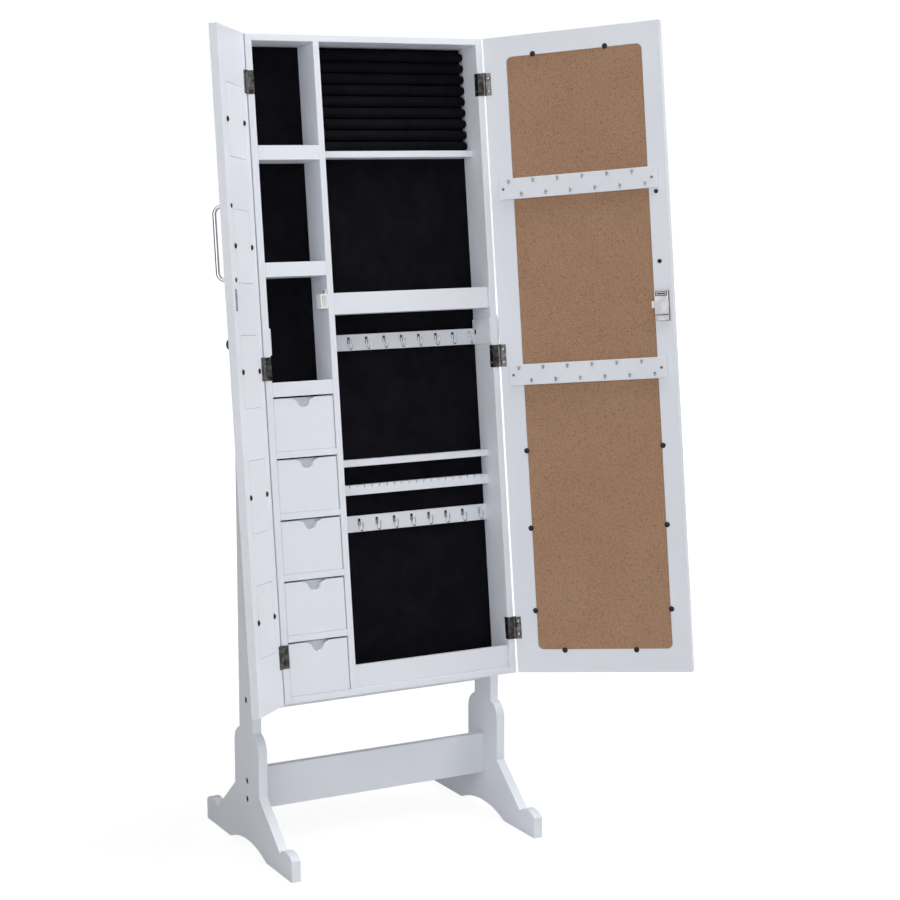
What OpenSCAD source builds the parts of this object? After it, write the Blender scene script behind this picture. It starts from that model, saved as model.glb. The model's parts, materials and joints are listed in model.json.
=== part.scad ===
// Free-standing jewelry armoire: a shallow cabinet that leans on a two-sided stand.
//
// Frame: +X to the right, +Y to the back, +Z up. The origin is on the floor, under the middle of
// the whole piece as it stands with both doors open. Everything is built in three helper frames:
//   stand   x = 0 midway between the uprights, y = 0 under the tilt axis, z = 0 on the floor
//   case    x = 0 at mid width, y = 0 on the front edges and growing backwards, z = 0 at the bottom
//   door    x = 0 at the hinge edge, y = 0 on the inner face and growing inwards, z = 0 at the bottom

/* [Case] */
// Width of the case over its side panels
case_w = 480; // [430:5:600]
// Height of the case
case_h = 1200; // [1000:10:1450]
// Depth of the side panels
case_d = 84; // [78:1:110]
// Thickness of the side panels
side_t = 13; // [12:1:18]
// Thickness of the top, bottom, divider and shelf boards
board_t = 12; // [9:1:15]
// Clear depth from the front edges to the velvet
inner_d = 68.6; // [60:0.2:90]
// Thickness of the velvet lining on its card
lining_t = 1.6; // [1:0.1:3]
// Thickness of the back panel
back_t = 5; // [3:1:8]

/* [Left column] */
// Clear width between the left side and the divider
column_w = 119; // [95:1:145]
// Height of the lip in front of each cubby shelf
cubby_lip_h = 26; // [16:1:36]
// Thickness of the lips
lip_t = 12; // [6:1:15]
// How far the middle cubby shelf sits above an even spacing
middle_shelf_raise = 3; // [0:1:12]

/* [Drawers] */
// Clear height of each drawer opening
drawer_open_h = 98.6; // [80:0.2:102]
// Gap at each end of a drawer front
drawer_end_gap = 1; // [0.6:0.2:2]
// Gap above a drawer front
drawer_top_gap = 3; // [2:0.5:6]
// How far the drawer fronts sit behind the case's front edges
drawer_setback = 2; // [1.5:0.5:4]
// Thickness of a drawer front
drawer_front_t = 12; // [8:1:15]
// Height of the tray behind a drawer front
tray_h = 66; // [40:1:72]
// Thickness of the tray walls
tray_wall_t = 6; // [4:1:8]
// Thickness of the tray floor
tray_floor_t = 3; // [2:1:5]
// Radius of the finger notch's round bottom
notch_r = 12; // [9:0.5:15]
// Width of the notch at the top edge
notch_top_w = 46; // [36:1:60]
// Depth of the straight, flared part of the notch
notch_flare = 6; // [4:1:10]

/* [Main compartment] */
// Drop from the case's top to the ring shelf
ring_shelf_drop = 205; // [150:1:260]
// Depth of the ring shelf
ring_shelf_d = 34; // [24:1:50]
// Number of velvet rolls that hold rings
roll_count = 9; // [4:1:12]
// Drop from the case's top to the top of the bottle shelf's lip
bottle_lip_drop = 465; // [400:1:500]
// Height of the bottle shelf's lip
bottle_lip_h = 39; // [26:1:55]
// How far the lips of the main compartment sit behind the front edges
lip_setback = 6; // [5:0.5:12]
// Drop to the upper earring strip
upper_strip_drop = 541; // [520:1:600]
// Height of an earring strip
strip_h = 30; // [22:1:40]
// Thickness of an earring strip
strip_t = 8; // [6:1:12]
// Hooks on each earring strip
strip_hooks = 9; // [5:1:10]
// Distance between neighbouring earring hooks
strip_pitch = 36.4; // [26:0.2:38]
// Drop to the earring ledge
ledge_drop = 773; // [700:1:780]
// Depth of the earring ledge
ledge_d = 30; // [20:1:45]
// Drop to the slotted bar
bar_drop = 820; // [800:1:830]
// Height of the slotted bar
bar_h = 18; // [14:1:24]
// Depth of the slotted bar
bar_d = 24; // [16:1:34]
// Number of slots in the bar
slot_count = 20; // [8:1:20]
// Distance between neighbouring slots
slot_pitch = 15.5; // [12:0.5:16]
// Width of a slot
slot_w = 2; // [1.5:0.25:3]
// Depth of a slot
slot_depth = 5; // [3:0.5:8]
// Drop to the lower earring strip
lower_strip_drop = 878; // [870:1:900]
// Height of the lip along the bottom tray
tray_lip_h = 41; // [28:1:60]

/* [Doors] */
// Thickness of both doors
door_t = 15; // [12:1:18]
// Width of the narrow left door
left_door_w = 138; // [120:1:150]
// Gap between the closed doors
meeting_gap = 2; // [1.5:0.5:4]
// Gap between a closed door and the case's front edges
door_gap = 2; // [2:0.2:4]
// How far the left door stands open
left_open = 131.4; // [0:0.1:150]
// How far the right door stands open
right_open = 132.3; // [0:0.1:150]
// Width of the rebated panel's margin on the hinge side
hinge_stile = 44; // [36:1:60]
// Width of that margin on the free side
lock_stile = 35.6; // [34:0.2:50]
// Margin above the cork and the mirror
top_margin = 39.5; // [30:0.5:60]
// Margin below the cork and the mirror
bottom_margin = 44; // [30:0.5:60]
// Thickness of the wood left in front of the mirror
mirror_lip_t = 5; // [4:0.5:6]
// How far that wood overlaps the mirror's edge
mirror_overlap = 6; // [4:0.5:10]
// Thickness of the mirror
mirror_t = 3; // [3:0.5:4]
// Corner radius of the rebates
rebate_r = 10; // [6:1:16]

/* [Photo frames] */
// Width of a picture's backing board
photo_w = 84; // [70:1:90]
// Height of a picture's backing board
photo_h = 127; // [100:1:127]
// Drop from the case's top to the first picture
photo_drop = 98; // [80:1:100]
// Distance from one picture to the next
photo_pitch = 218.6; // [150:0.2:220]
// Number of pictures
photo_count = 5; // [3:1:5]
// Thickness of a picture's glass
photo_glass_t = 2; // [1.5:0.5:3]
// Thickness of a picture's backing board
photo_back_t = 3.5; // [2.5:0.5:4]

/* [Hook rails on the right door] */
// Drop to the upper rail
upper_rail_drop = 265.5; // [225:0.5:300]
// Drop to the lower rail
lower_rail_drop = 614.5; // [560:0.5:650]
// Height of a rail
rail_h = 39; // [32:1:45]
// Thickness of a rail
rail_t = 8; // [6:1:10]
// Inset of each rail's ends from the door's edges
rail_inset = 18; // [17:1:30]
// Hooks on each rail, in two staggered rows
rail_hooks = 12; // [6:2:14]
// Sideways step from one hook to the next
rail_hook_step = 23.75; // [18:0.25:24]

/* [Pulls] */
// Distance between a pull's two fixings
pull_centres = 128; // [96:32:160]
// Radius of the pull's rod
pull_r = 3.4; // [3:0.1:5]
// How far the pull stands off the door, to the middle of its rod
pull_reach = 17; // [14:1:35]
// Radius of the pull's bends
pull_bend = 14; // [8:1:18]

/* [Stand] */
// Thickness of the uprights
upright_t = 18; // [15:1:22]
// Gap between an upright and the case
side_gap = 2; // [1.5:0.5:4]
// Length of a foot from front to back
foot_l = 408; // [360:2:480]
// Half width of the upright's post
post_half = 32; // [26:1:40]
// Half width of the upright's waist
waist_half = 58; // [50:1:70]
// Height of the waist's shoulder
shoulder_z = 197; // [185:1:220]
// Radius of the shoulder
shoulder_r = 34; // [30:1:40]
// Height at which the waist starts to widen into the foot
flare_z = 115; // [105:1:130]
// Height of the rounded toes
toe_h = 50; // [44:1:60]
// Length of each toe
toe_l = 54.5; // [44:0.5:64]
// Half width of the arch under the foot
arch_half = 87; // [70:1:100]
// Height of that arch
arch_h = 18; // [12:1:24]
// Height of the crossbar
crossbar_h = 80; // [60:1:90]
// Height of the crossbar's lower edge above the floor
crossbar_z = 77; // [65:1:85]
// Thickness of the crossbar and of the stop rail
crossbar_t = 15; // [12:1:20]
// Height of the stop rail
stop_h = 45; // [36:1:50]
// Height of the stop rail's lower edge above the floor
stop_z = 266; // [258:1:267]

/* [Tilt pivot] */
// Angle by which the case leans back
lean = 6.92; // [4:0.01:17]
// Height of the case's bottom above the floor when it is upright
case_clear = 298.2; // [296:0.2:340]
// Drop from the case's top to the tilt axis
pivot_drop = 548; // [460:1:560]
// Distance of the tilt axis behind the case's front edges
pivot_back = 60; // [40:1:61]
// Radius of the pivot stud
stud_r = 5; // [4:0.5:6]
// Radius of the clamp knob
knob_r = 10; // [9:1:16]

/* [Hidden] */

$fn = 64;
eps = 0.01;
run_clear = 0.05;              // radial clearance of a pin or stud that turns in its hole
slide_clear = 0.3;             // clearance under and beside what slides or is laid in
drawer_rows = 5;

// --- case layout -------------------------------------------------------------------------------
inner_w = case_w - 2 * side_t;
column_x = -inner_w / 2;                       // left face of the column's space
divider_x = column_x + column_w;
bay_x = divider_x + board_t;                   // left face of the main compartment
bay_w = inner_w / 2 - bay_x;
bay_mid = bay_x + bay_w / 2;
drawer_pitch = drawer_open_h + board_t;
drawers_top = board_t + drawer_rows * drawer_open_h + (drawer_rows - 1) * board_t;
drawer_front_h = drawer_open_h - drawer_top_gap - slide_clear;
cubby_count = 3;
cubby_h = (case_h - board_t - drawers_top - cubby_count * cubby_lip_h) / cubby_count;
roll_space = ring_shelf_drop - board_t;
roll_margin = 5;                               // space left above the first roll
roll_pitch = (roll_space - roll_margin) / roll_count;
roll_r = roll_pitch / 2 - 0.2;

// --- hinges --------------------------------------------------------------------------------------
hinge_h = 42;
hinge_inset = 86;                              // from the case's ends to the outer hinges' middles
hinge_mid_rise = 4;                            // of the middle hinge above mid height
leaf_t = 0.9;
leaf_w = 12;
knuckle_r = 3;
knuckle_out = 1;                               // pin axis outside the case's side
hinge_pin_r = 1.5;
knuckle_gap = 0.3;
pin_cap_r = 2.4;
pin_cap_h = 1;
knuckle_h = (hinge_h - 2 * knuckle_gap) / 3;
hinge_z = [hinge_inset, case_h / 2 + hinge_mid_rise, case_h - hinge_inset];
leaf_screw_step = 24;
leaf_screw_head_r = 2.6;
leaf_screw_l = 9;
hook_plate_t = 1;
pull_foot_r = 5;
photo_screw_out = 1.8;                         // of a picture's screws beyond its edges
panel_screw_out = 1.8;                         // of the cork's screws beyond its edges

// --- doors ---------------------------------------------------------------------------------------
right_door_w = case_w - left_door_w - meeting_gap;
panel_w = right_door_w - hinge_stile - lock_stile;
panel_h = case_h - top_margin - bottom_margin;
cork_recess = 0.8;
cork_t = door_t - mirror_lip_t - mirror_t - cork_recess - slide_clear;
photo_x = (left_door_w - photo_w) / 2 - 0.5;   // left edge of the pictures
photo_gap = 0.4;                               // around each backing board
photo_overlap = 5;                             // of the frame over each glass
photo_depth = photo_glass_t + photo_back_t + slide_clear;
rail_l = right_door_w - 2 * rail_inset;
pull_drop = 375;                               // from the top to the pulls' middles
left_pull_x = left_door_w - 18;
right_pull_x = right_door_w - 22;

// --- lock and catch --------------------------------------------------------------------------------
lock_w = 26;
lock_h = 55;
lock_drop = 493;
lock_edge = 8;                                 // from the door's free edge to the lock
lock_proud = 7.2;
lock_deep = 8;
lock_x = right_door_w - lock_edge - lock_w;
lock_z = case_h - lock_drop - lock_h;
bolt_h = 13;
bolt_t = 2.6;
bolt_tail = 6;                                 // of the drawn bolt beside the lock
bolt_y = 4.7;                                  // middle of the bolt above the door's inner face
bolt_z = case_h - 518;
bolt_bite = 5;                                 // of the thrown bolt in the divider
divider_lap = bay_x - (left_door_w + meeting_gap - case_w / 2);
bolt_throw = lock_edge - divider_lap + bolt_bite;
plug_r = 5;
barrel_r = 8;
catch_w = 14;
catch_d = 20;
catch_h = 26;
catch_drop = 466;

// --- stand -----------------------------------------------------------------------------------------
post_x = case_w / 2 + side_gap;                // inner face of an upright
stand_in_w = 2 * post_x;
pivot_z = case_clear + case_h - pivot_drop;
post_top = pivot_z + 44;
pivot_plate_h = 48;
pivot_plate_t = 3;
bolt_r = 3;
bolt_head_r = 6;
bolt_head_h = 3.5;
bolt_sink = 5;
stand_bolt_l = 55;
crossbar_bolt_z = [crossbar_z + 21, crossbar_z + 56];
stop_bolt_z = stop_z + stop_h / 2;

// --- where the origin lies: the middle of everything's plan -------------------------------------------
function swung(reach, depth, angle) =          // plan place of a door's point beyond its hinge pin
  [-reach * cos(angle) + depth * sin(angle), -reach * sin(angle) - depth * cos(angle)];
pin_x = case_w / 2 + knuckle_out;
pull_out = door_gap / 2 + door_t + pull_reach + pull_r;
right_tip = swung(knuckle_out + right_pull_x, pull_out, right_open);
left_tip = swung(knuckle_out + left_pull_x, pull_out, left_open);
door_tip = swung(knuckle_out + right_door_w, door_gap / 2, right_open);
front_y = (door_tip[1] - door_gap / 2 - pivot_back) * cos(lean) - (case_h - pivot_drop) * sin(lean);
centre_x = (right_tip[0] - left_tip[0]) / 2;
centre_y = (front_y + foot_l / 2) / 2;

module on_stand() {
  translate([-centre_x, -centre_y, 0]) children();
}

module on_case() {
  on_stand()
    translate([0, 0, pivot_z])
      rotate([-lean, 0, 0])
        translate([0, -pivot_back, pivot_drop - case_h]) children();
}

module on_right_door() {
  on_case()
    translate([pin_x, -door_gap / 2, 0])
      rotate([0, 0, right_open])
        translate([-knuckle_out, -door_gap / 2, 0])
          mirror([1, 0, 0]) children();
}

module on_left_door() {
  on_case()
    translate([-pin_x, -door_gap / 2, 0])
      rotate([0, 0, -left_open])
        translate([knuckle_out, -door_gap / 2, 0]) children();
}

// --- shared shapes --------------------------------------------------------------------------------------
module board(x, y, z, w, d, h) {
  translate([x, y, z]) cube([w, d, h]);
}

module rounded_rect(w, h, r) {
  translate([r, 0]) square([w - 2 * r, h]);
  translate([0, r]) square([w, h - 2 * r]);
  for (x = [r, w - r], y = [r, h - r]) translate([x, y]) circle(r);
}

// A plate in the x-z plane, from y to y + t.
module plate(y, t) {
  translate([0, y + t, 0]) rotate([90, 0, 0]) linear_extrude(t) children();
}

// A wood screw whose head rests on the plane y = 0 and whose shank runs towards +y.
module wood_screw(head_r, head_h, shank_r, shank_l) {
  rotate([90, 0, 0]) rotate_extrude()
    polygon([[0, -shank_l], [shank_r, -shank_l + 2 * shank_r], [shank_r, 0], [head_r, 0],
             [head_r, head_h * 0.45], [head_r * 0.72, head_h], [0, head_h]]);
}

// A wire hook on a small plate: down the plate, round a U that stands out, and up to a round tip.
module wire_hook(plate_w, plate_h, wire_r, u_r, rise) {
  stem = plate_h * 0.75;
  stem_y = -hook_plate_t - wire_r / 2;
  foot_z = -plate_h * 1.15;
  translate([-plate_w / 2, -hook_plate_t, -plate_h]) cube([plate_w, hook_plate_t, plate_h]);
  translate([0, stem_y, foot_z]) cylinder(h = stem, r = wire_r);
  translate([0, stem_y - u_r, foot_z]) {
    rotate([0, 90, 0]) rotate([0, 0, -90]) rotate_extrude(angle = 180) translate([u_r, 0]) circle(wire_r);
    translate([0, -u_r, 0]) cylinder(h = rise, r = wire_r);
    translate([0, -u_r, rise]) sphere(wire_r * 1.45);
  }
}

// What the knuckles and the pin's cap need in the corner of a board whose outer edge is x = 0.
module knuckle_room() {
  for (z = hinge_z) translate([knuckle_out, -door_gap / 2, z - hinge_h / 2 - slide_clear])
    cylinder(h = hinge_h + pin_cap_h + 2 * slide_clear, r = knuckle_r + slide_clear);
}

// The knuckles of one leaf with the plate beside them, on y = 0 and reaching inwards from the edge
// x = 0. "knuckles" lists which of the three belong to the leaf.
module knuckled_plate(reach, knuckles) {
  knuckle_step = knuckle_h + knuckle_gap;
  difference() {
    union() {
      translate([-reach, -leaf_t, -hinge_h / 2]) cube([reach + knuckle_out, leaf_t, hinge_h]);
      translate([knuckle_out, -door_gap / 2, -hinge_h / 2]) cylinder(h = hinge_h, r = knuckle_r);
    }
    for (k = [0 : 2]) if (len(search(k, knuckles)) == 0)
      translate([knuckle_out, -door_gap / 2, -hinge_h / 2 + k * knuckle_step - knuckle_gap])
        cylinder(h = knuckle_h + 2 * knuckle_gap, r = knuckle_r + slide_clear);
    translate([knuckle_out, -door_gap / 2, -hinge_h])
      cylinder(h = 2 * hinge_h, r = hinge_pin_r + run_clear);
  }
}

module leaf_screw_holes() {
  for (side = [-1, 1]) translate([leaf_w / 2, 1, side * leaf_screw_step / 2])
    rotate([90, 0, 0]) cylinder(h = leaf_t + 2, r = leaf_screw_head_r + 0.1);
}

module leaf_screws() {
  for (z = hinge_z, side = [-1, 1]) translate([leaf_w / 2, 0, z + side * leaf_screw_step / 2])
    wood_screw(leaf_screw_head_r, leaf_t - 0.1, 1.3, leaf_screw_l);
}

// The door's leaf lies on the door's inner face.
module door_leaf() {
  difference() {
    knuckled_plate(leaf_w, [1]);
    mirror([1, 0, 0]) leaf_screw_holes();
  }
}

// Moves the leaf's flange, drawn on y = 0 from x = 0, to the bottom of its gain in the side's inner face.
module on_side_flange() {
  translate([leaf_t - side_t, 0, 0]) rotate([0, 0, 90]) children();
}

// The case's leaf crosses the side's front edge and turns back along its inner face.
module case_leaf() {
  knuckled_plate(side_t, [0, 2]);
  on_side_flange() difference() {
    translate([-leaf_t, 0, -hinge_h / 2]) cube([leaf_w + leaf_t, leaf_t, hinge_h]);
    leaf_screw_holes();
  }
}

// A pull: two legs that flare at the door, two bends and a straight rod, standing out towards -y.
module pull(x, z) {
  bend = min(pull_bend, pull_reach - 1);
  straight = pull_centres - 2 * bend;
  translate([x, -door_t, z]) {
    for (end = [-1, 1]) translate([0, 0, end * pull_centres / 2]) {
      rotate([90, 0, 0]) cylinder(h = pull_reach - bend, r = pull_r);
      rotate([90, 0, 0]) cylinder(h = 1.2, r1 = pull_foot_r, r2 = pull_r);
      translate([0, bend - pull_reach, -end * bend])
        rotate([0, 90, 0]) rotate([0, 0, end > 0 ? 180 : 270])
          rotate_extrude(angle = 90) translate([bend, 0]) circle(pull_r);
    }
    translate([0, -pull_reach, -straight / 2]) cylinder(h = straight, r = pull_r);
  }
}

// --- stand: node modules ------------------------------------------------------------------------
// The side view of an upright, drawn with x to the back and y upwards.
module half_upright_outline() {
  toe_x = foot_l / 2 - toe_l;                  // where the toe's bump starts
  toe_edge_z = toe_h - 10;
  toe_bump_r = (pow(toe_l / 2, 2) + 100) / 20;
  shoulder_x = waist_half - shoulder_r;
  square([post_half, post_top - post_half]);
  square([waist_half, shoulder_z]);
  intersection() {
    translate([shoulder_x, shoulder_z]) circle(shoulder_r);
    translate([0, shoulder_z - eps]) square(2 * shoulder_r);
  }
  polygon([[0, 0], [0, flare_z], [waist_half, flare_z], [toe_x, toe_edge_z], [toe_x, 0]]);
  translate([toe_x - eps, 0]) square([toe_l + eps, toe_edge_z]);
  intersection() {
    translate([toe_x + toe_l / 2, toe_h - toe_bump_r]) circle(toe_bump_r);
    translate([toe_x, toe_edge_z - eps]) square([toe_l, toe_h]);
  }
}

module upright_outline() {
  arch_r = (pow(arch_half, 2) + pow(arch_h, 2)) / (2 * arch_h);
  difference() {
    union() {
      half_upright_outline();
      mirror([1, 0]) half_upright_outline();
      translate([0, post_top - post_half]) circle(post_half);
    }
    translate([0, arch_h - arch_r]) circle(arch_r);
  }
}

// The right upright, in the stand's frame.
module upright() {
  difference() {
    translate([post_x, 0, 0]) rotate([90, 0, 90]) linear_extrude(upright_t) upright_outline();
    translate([post_x - 1, 0, pivot_z]) rotate([0, 90, 0]) cylinder(h = upright_t + 2, r = stud_r + run_clear);
    for (z = concat(crossbar_bolt_z, [stop_bolt_z])) translate([post_x - 1, 0, z]) rotate([0, 90, 0]) {
      cylinder(h = upright_t + 2, r = bolt_r + slide_clear);
      translate([0, 0, 1 + upright_t - bolt_sink]) cylinder(h = upright_t, r = bolt_head_r + slide_clear);
    }
  }
}

module left_upright() {
  color("white") on_stand() mirror([1, 0, 0]) upright();
}

module right_upright() {
  color("white") on_stand() upright();
}

module bolted_rail(z, h, bolt_heights) {
  difference() {
    board(-stand_in_w / 2, -crossbar_t / 2, z, stand_in_w, crossbar_t, h);
    for (side = [-1, 1], bolt = bolt_heights)
      translate([side * (stand_in_w / 2 + 1), 0, bolt]) rotate([0, -90 * side, 0])
        cylinder(h = stand_bolt_l, r = bolt_r + slide_clear);
  }
}

module crossbar() {
  color("white") on_stand() bolted_rail(crossbar_z, crossbar_h, crossbar_bolt_z);
}

module stop_rail() {
  color("white") on_stand() bolted_rail(stop_z, stop_h, [stop_bolt_z]);
}

module socket_bolt() {
  difference() {
    union() {
      cylinder(h = stand_bolt_l, r = bolt_r);
      translate([0, 0, -bolt_head_h]) cylinder(h = bolt_head_h, r = bolt_head_r);
    }
    translate([0, 0, -bolt_head_h - 1]) cylinder(h = 3, r = bolt_r, $fn = 6);
  }
}

module stand_bolts() {
  color("dimgray") on_stand()
    for (side = [-1, 1], z = concat(crossbar_bolt_z, [stop_bolt_z]))
      translate([side * (post_x + upright_t - bolt_sink), 0, z]) rotate([0, -90 * side, 0]) socket_bolt();
}

module pivot_washers() {
  color("whitesmoke") on_stand()
    for (side = [-1, 1]) translate([side * (post_x - side_gap + slide_clear), 0, pivot_z]) rotate([0, 90 * side, 0])
      difference() {
        cylinder(h = side_gap - slide_clear, r = 12);
        translate([0, 0, -1]) cylinder(h = side_gap + 2, r = stud_r + run_clear);
      }
}

// The clamp knob with its moulded-in stud, turning about +x from the right upright's outer face.
module tilt_knob() {
  skirt_h = 10;
  grip_h = 14;
  flutes = 8;
  stud_l = upright_t + side_gap + side_t + pivot_plate_t;
  translate([post_x + upright_t + slide_clear, 0, pivot_z]) rotate([0, 90, 0]) {
    rotate_extrude() polygon([[0, 0], [knob_r * 0.62, 0], [knob_r * 0.55, skirt_h], [0, skirt_h]]);
    difference() {
      translate([0, 0, skirt_h]) rotate_extrude()
        polygon([[0, 0], [knob_r - 1.5, 0], [knob_r, 1.5], [knob_r, grip_h - 3], [knob_r - 3, grip_h], [0, grip_h]]);
      for (k = [0 : flutes - 1]) rotate([0, 0, k * 360 / flutes])
        translate([knob_r + 1.8, 0, skirt_h - 1]) cylinder(h = grip_h + 2, r = 3);
    }
    translate([0, 0, -stud_l]) cylinder(h = stud_l + eps, r = stud_r);
  }
}

module left_tilt_knob() {
  color("dimgray") on_stand() mirror([1, 0, 0]) tilt_knob();
}

module right_tilt_knob() {
  color("dimgray") on_stand() tilt_knob();
}

// --- case: node modules -------------------------------------------------------------------------
module side_panel() {
  difference() {
    board(case_w / 2 - side_t, 0, 0, side_t, case_d, case_h);
    translate([case_w / 2 - side_t - 1, pivot_back, case_h - pivot_drop])
      rotate([0, 90, 0]) cylinder(h = side_t + 2, r = stud_r + run_clear);
    translate([case_w / 2, 0, 0]) knuckle_room();
    for (z = hinge_z) board(case_w / 2 - side_t - 1, -1, z - hinge_h / 2, 1 + leaf_t, 1 + leaf_w, hinge_h);
  }
}

module left_side() {
  color("white") on_case() mirror([1, 0, 0]) side_panel();
}

module right_side() {
  color("white") on_case() side_panel();
}

module top_panel() {
  color("white") on_case() board(-inner_w / 2, 0, case_h - board_t, inner_w, case_d, board_t);
}

module bottom_panel() {
  color("white") on_case() board(-inner_w / 2, 0, 0, inner_w, case_d, board_t);
}

module divider() {
  color("white") on_case() difference() {
    board(divider_x, 0, board_t, board_t, inner_d + lining_t, case_h - 2 * board_t);
    board(bay_x - bolt_bite - 1, bolt_y - door_gap - bolt_t / 2 - slide_clear, bolt_z - bolt_h / 2 - 1,
      bolt_bite + 2, bolt_t + 2 * slide_clear, bolt_h + 2);
  }
}

module back_panel() {
  color("gainsboro") on_case()
    board(-inner_w / 2, inner_d + lining_t, board_t, inner_w, back_t, case_h - 2 * board_t);
}

module velvet_lining() {
  color("black") on_case() {
    board(bay_x, inner_d, board_t, bay_w, lining_t, case_h - 2 * board_t);
    board(column_x, inner_d, board_t, column_w, lining_t, case_h - 2 * board_t);
  }
}

// Drop from the case's top to the top edge of a cubby shelf's lip.
function cubby_drop(row) =
  board_t + (row + 1) * cubby_h + row * cubby_lip_h - (row == 1 ? middle_shelf_raise : 0);

module lipped_shelf(x, w, drop, lip_h, setback) {
  lip_z = case_h - drop - lip_h;
  board(x, setback, lip_z, w, lip_t, lip_h);
  board(x, setback + lip_t - eps, lip_z, w, inner_d - setback - lip_t + eps, board_t);
}

module cubby_shelves() {
  color("white") on_case() difference() {
    for (row = [0 : cubby_count - 1]) lipped_shelf(column_x, column_w, cubby_drop(row), cubby_lip_h, 0);
    board(column_x - 1, -1, case_h - pivot_drop - pivot_plate_h / 2 - slide_clear,
      1 + pivot_plate_t + slide_clear, inner_d + 2, pivot_plate_h + 2 * slide_clear);
  }
}

function drawer_floor_z(row) = board_t + (drawer_rows - row) * drawer_pitch;    // rows count from 1

module drawer_rails() {
  color("white") on_case()
    for (row = [1 : drawer_rows - 1])
      board(column_x, 0, drawer_floor_z(row + 1) + drawer_open_h, column_w, inner_d, board_t);
}

module ring_shelf() {
  color("white") on_case()
    board(bay_x, inner_d - ring_shelf_d, case_h - ring_shelf_drop - board_t, bay_w, ring_shelf_d, board_t);
}

module ring_rolls() {
  color("black") on_case()
    for (row = [0 : roll_count - 1])
      translate([bay_x + slide_clear, inner_d - roll_r, case_h - ring_shelf_drop + (row + 0.5) * roll_pitch])
        rotate([0, 90, 0]) cylinder(h = bay_w - 2 * slide_clear, r = roll_r);
}

module bottle_shelf_lip() {
  color("white") on_case()
    board(bay_x, lip_setback, case_h - bottle_lip_drop - bottle_lip_h, bay_w, lip_t, bottle_lip_h);
}

module bottle_shelf() {
  depth = inner_d - lip_setback - lip_t;
  color("white") on_case()
    board(bay_x, lip_setback + lip_t, case_h - bottle_lip_drop - bottle_lip_h, bay_w, depth, board_t);
}

module earring_strip(drop, w) {
  color("white") on_case() board(bay_x, inner_d - strip_t, case_h - drop - strip_h, w, strip_t, strip_h);
}

// The upper strip ends at the pivot plate.
module upper_earring_strip() {
  earring_strip(upper_strip_drop, bay_w - pivot_plate_t);
}

module lower_earring_strip() {
  earring_strip(lower_strip_drop, bay_w);
}

module earring_hooks() {
  first_x = bay_mid - (strip_hooks - 1) * strip_pitch / 2;
  color("silver") on_case()
    for (drop = [upper_strip_drop, lower_strip_drop], k = [0 : strip_hooks - 1])
      translate([first_x + k * strip_pitch, inner_d - strip_t, case_h - drop - 5])
        wire_hook(5, 13, 1.1, 7.5, 8);
}

module earring_ledge() {
  color("white") on_case()
    board(bay_x, inner_d - ledge_d, case_h - ledge_drop - board_t, bay_w, ledge_d, board_t);
}

module slotted_bar() {
  top_z = case_h - bar_drop;
  first_x = bay_mid - (slot_count - 1) * slot_pitch / 2;
  color("white") on_case() difference() {
    board(bay_x, inner_d - bar_d, top_z - bar_h, bay_w, bar_d, bar_h);
    for (k = [0 : slot_count - 1])
      board(first_x + k * slot_pitch - slot_w / 2, inner_d - bar_d - 1, top_z - slot_depth,
        slot_w, bar_d + 2, slot_depth + 1);
  }
}

module bottom_tray_lip() {
  color("white") on_case() board(bay_x, lip_setback, board_t, bay_w, lip_t, tray_lip_h);
}

// The catch sits on the divider's left face and holds the left door by its strike plate.
module magnetic_catch() {
  z = case_h - catch_drop - catch_h;
  x = divider_x - catch_w;
  ear_t = 2.5;
  color("white") on_case() {
    difference() {
      board(x, 1, z, catch_w, catch_d, catch_h);
      board(x + 3, 0, z + 3, catch_w - 6, 4, catch_h - 6);
    }
    board(x + 4.5, 0.4, z + 3.5, 1.6, 8, catch_h - 7);
    board(x + catch_w - 6.1, 0.4, z + 3.5, 1.6, 8, catch_h - 7);
    difference() {
      board(divider_x - ear_t, 4, z + catch_h - eps, ear_t, 12, 9);
      translate([divider_x - ear_t - 1, 10, z + catch_h + 4.5]) rotate([0, 90, 0]) cylinder(h = ear_t + 2, r = 1.6);
    }
  }
}

module pivot_plate() {
  z = case_h - pivot_drop;
  difference() {
    board(inner_w / 2 - pivot_plate_t, 0, z - pivot_plate_h / 2, pivot_plate_t, inner_d, pivot_plate_h);
    translate([inner_w / 2 - pivot_plate_t - 1, pivot_back, z]) rotate([0, 90, 0])
      cylinder(h = pivot_plate_t + 2, r = stud_r + run_clear);
  }
}

module pivot_plates() {
  color("white") on_case() {
    pivot_plate();
    mirror([1, 0, 0]) pivot_plate();
  }
}

module case_hinge_leaves() {
  color("dimgray") on_case()
    for (side = [0, 1], z = hinge_z)
      mirror([side, 0, 0]) translate([case_w / 2, 0, z]) case_leaf();
}

module hinge_pins() {
  color("dimgray") on_case()
    for (side = [-1, 1], z = hinge_z) translate([side * pin_x, -door_gap / 2, z - hinge_h / 2]) {
      cylinder(h = hinge_h, r = hinge_pin_r);
      translate([0, 0, hinge_h]) cylinder(h = pin_cap_h, r = pin_cap_r);
    }
}

module case_screws() {
  color("dimgray") on_case() {
    for (side = [0, 1]) mirror([side, 0, 0]) translate([case_w / 2, 0, 0]) on_side_flange() mirror([0, 1, 0]) leaf_screws();
    translate([divider_x - 2.5, 10, case_h - catch_drop + 4.5]) rotate([0, 0, -90]) wood_screw(3, 1.6, 1.4, 10);
  }
}

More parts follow.
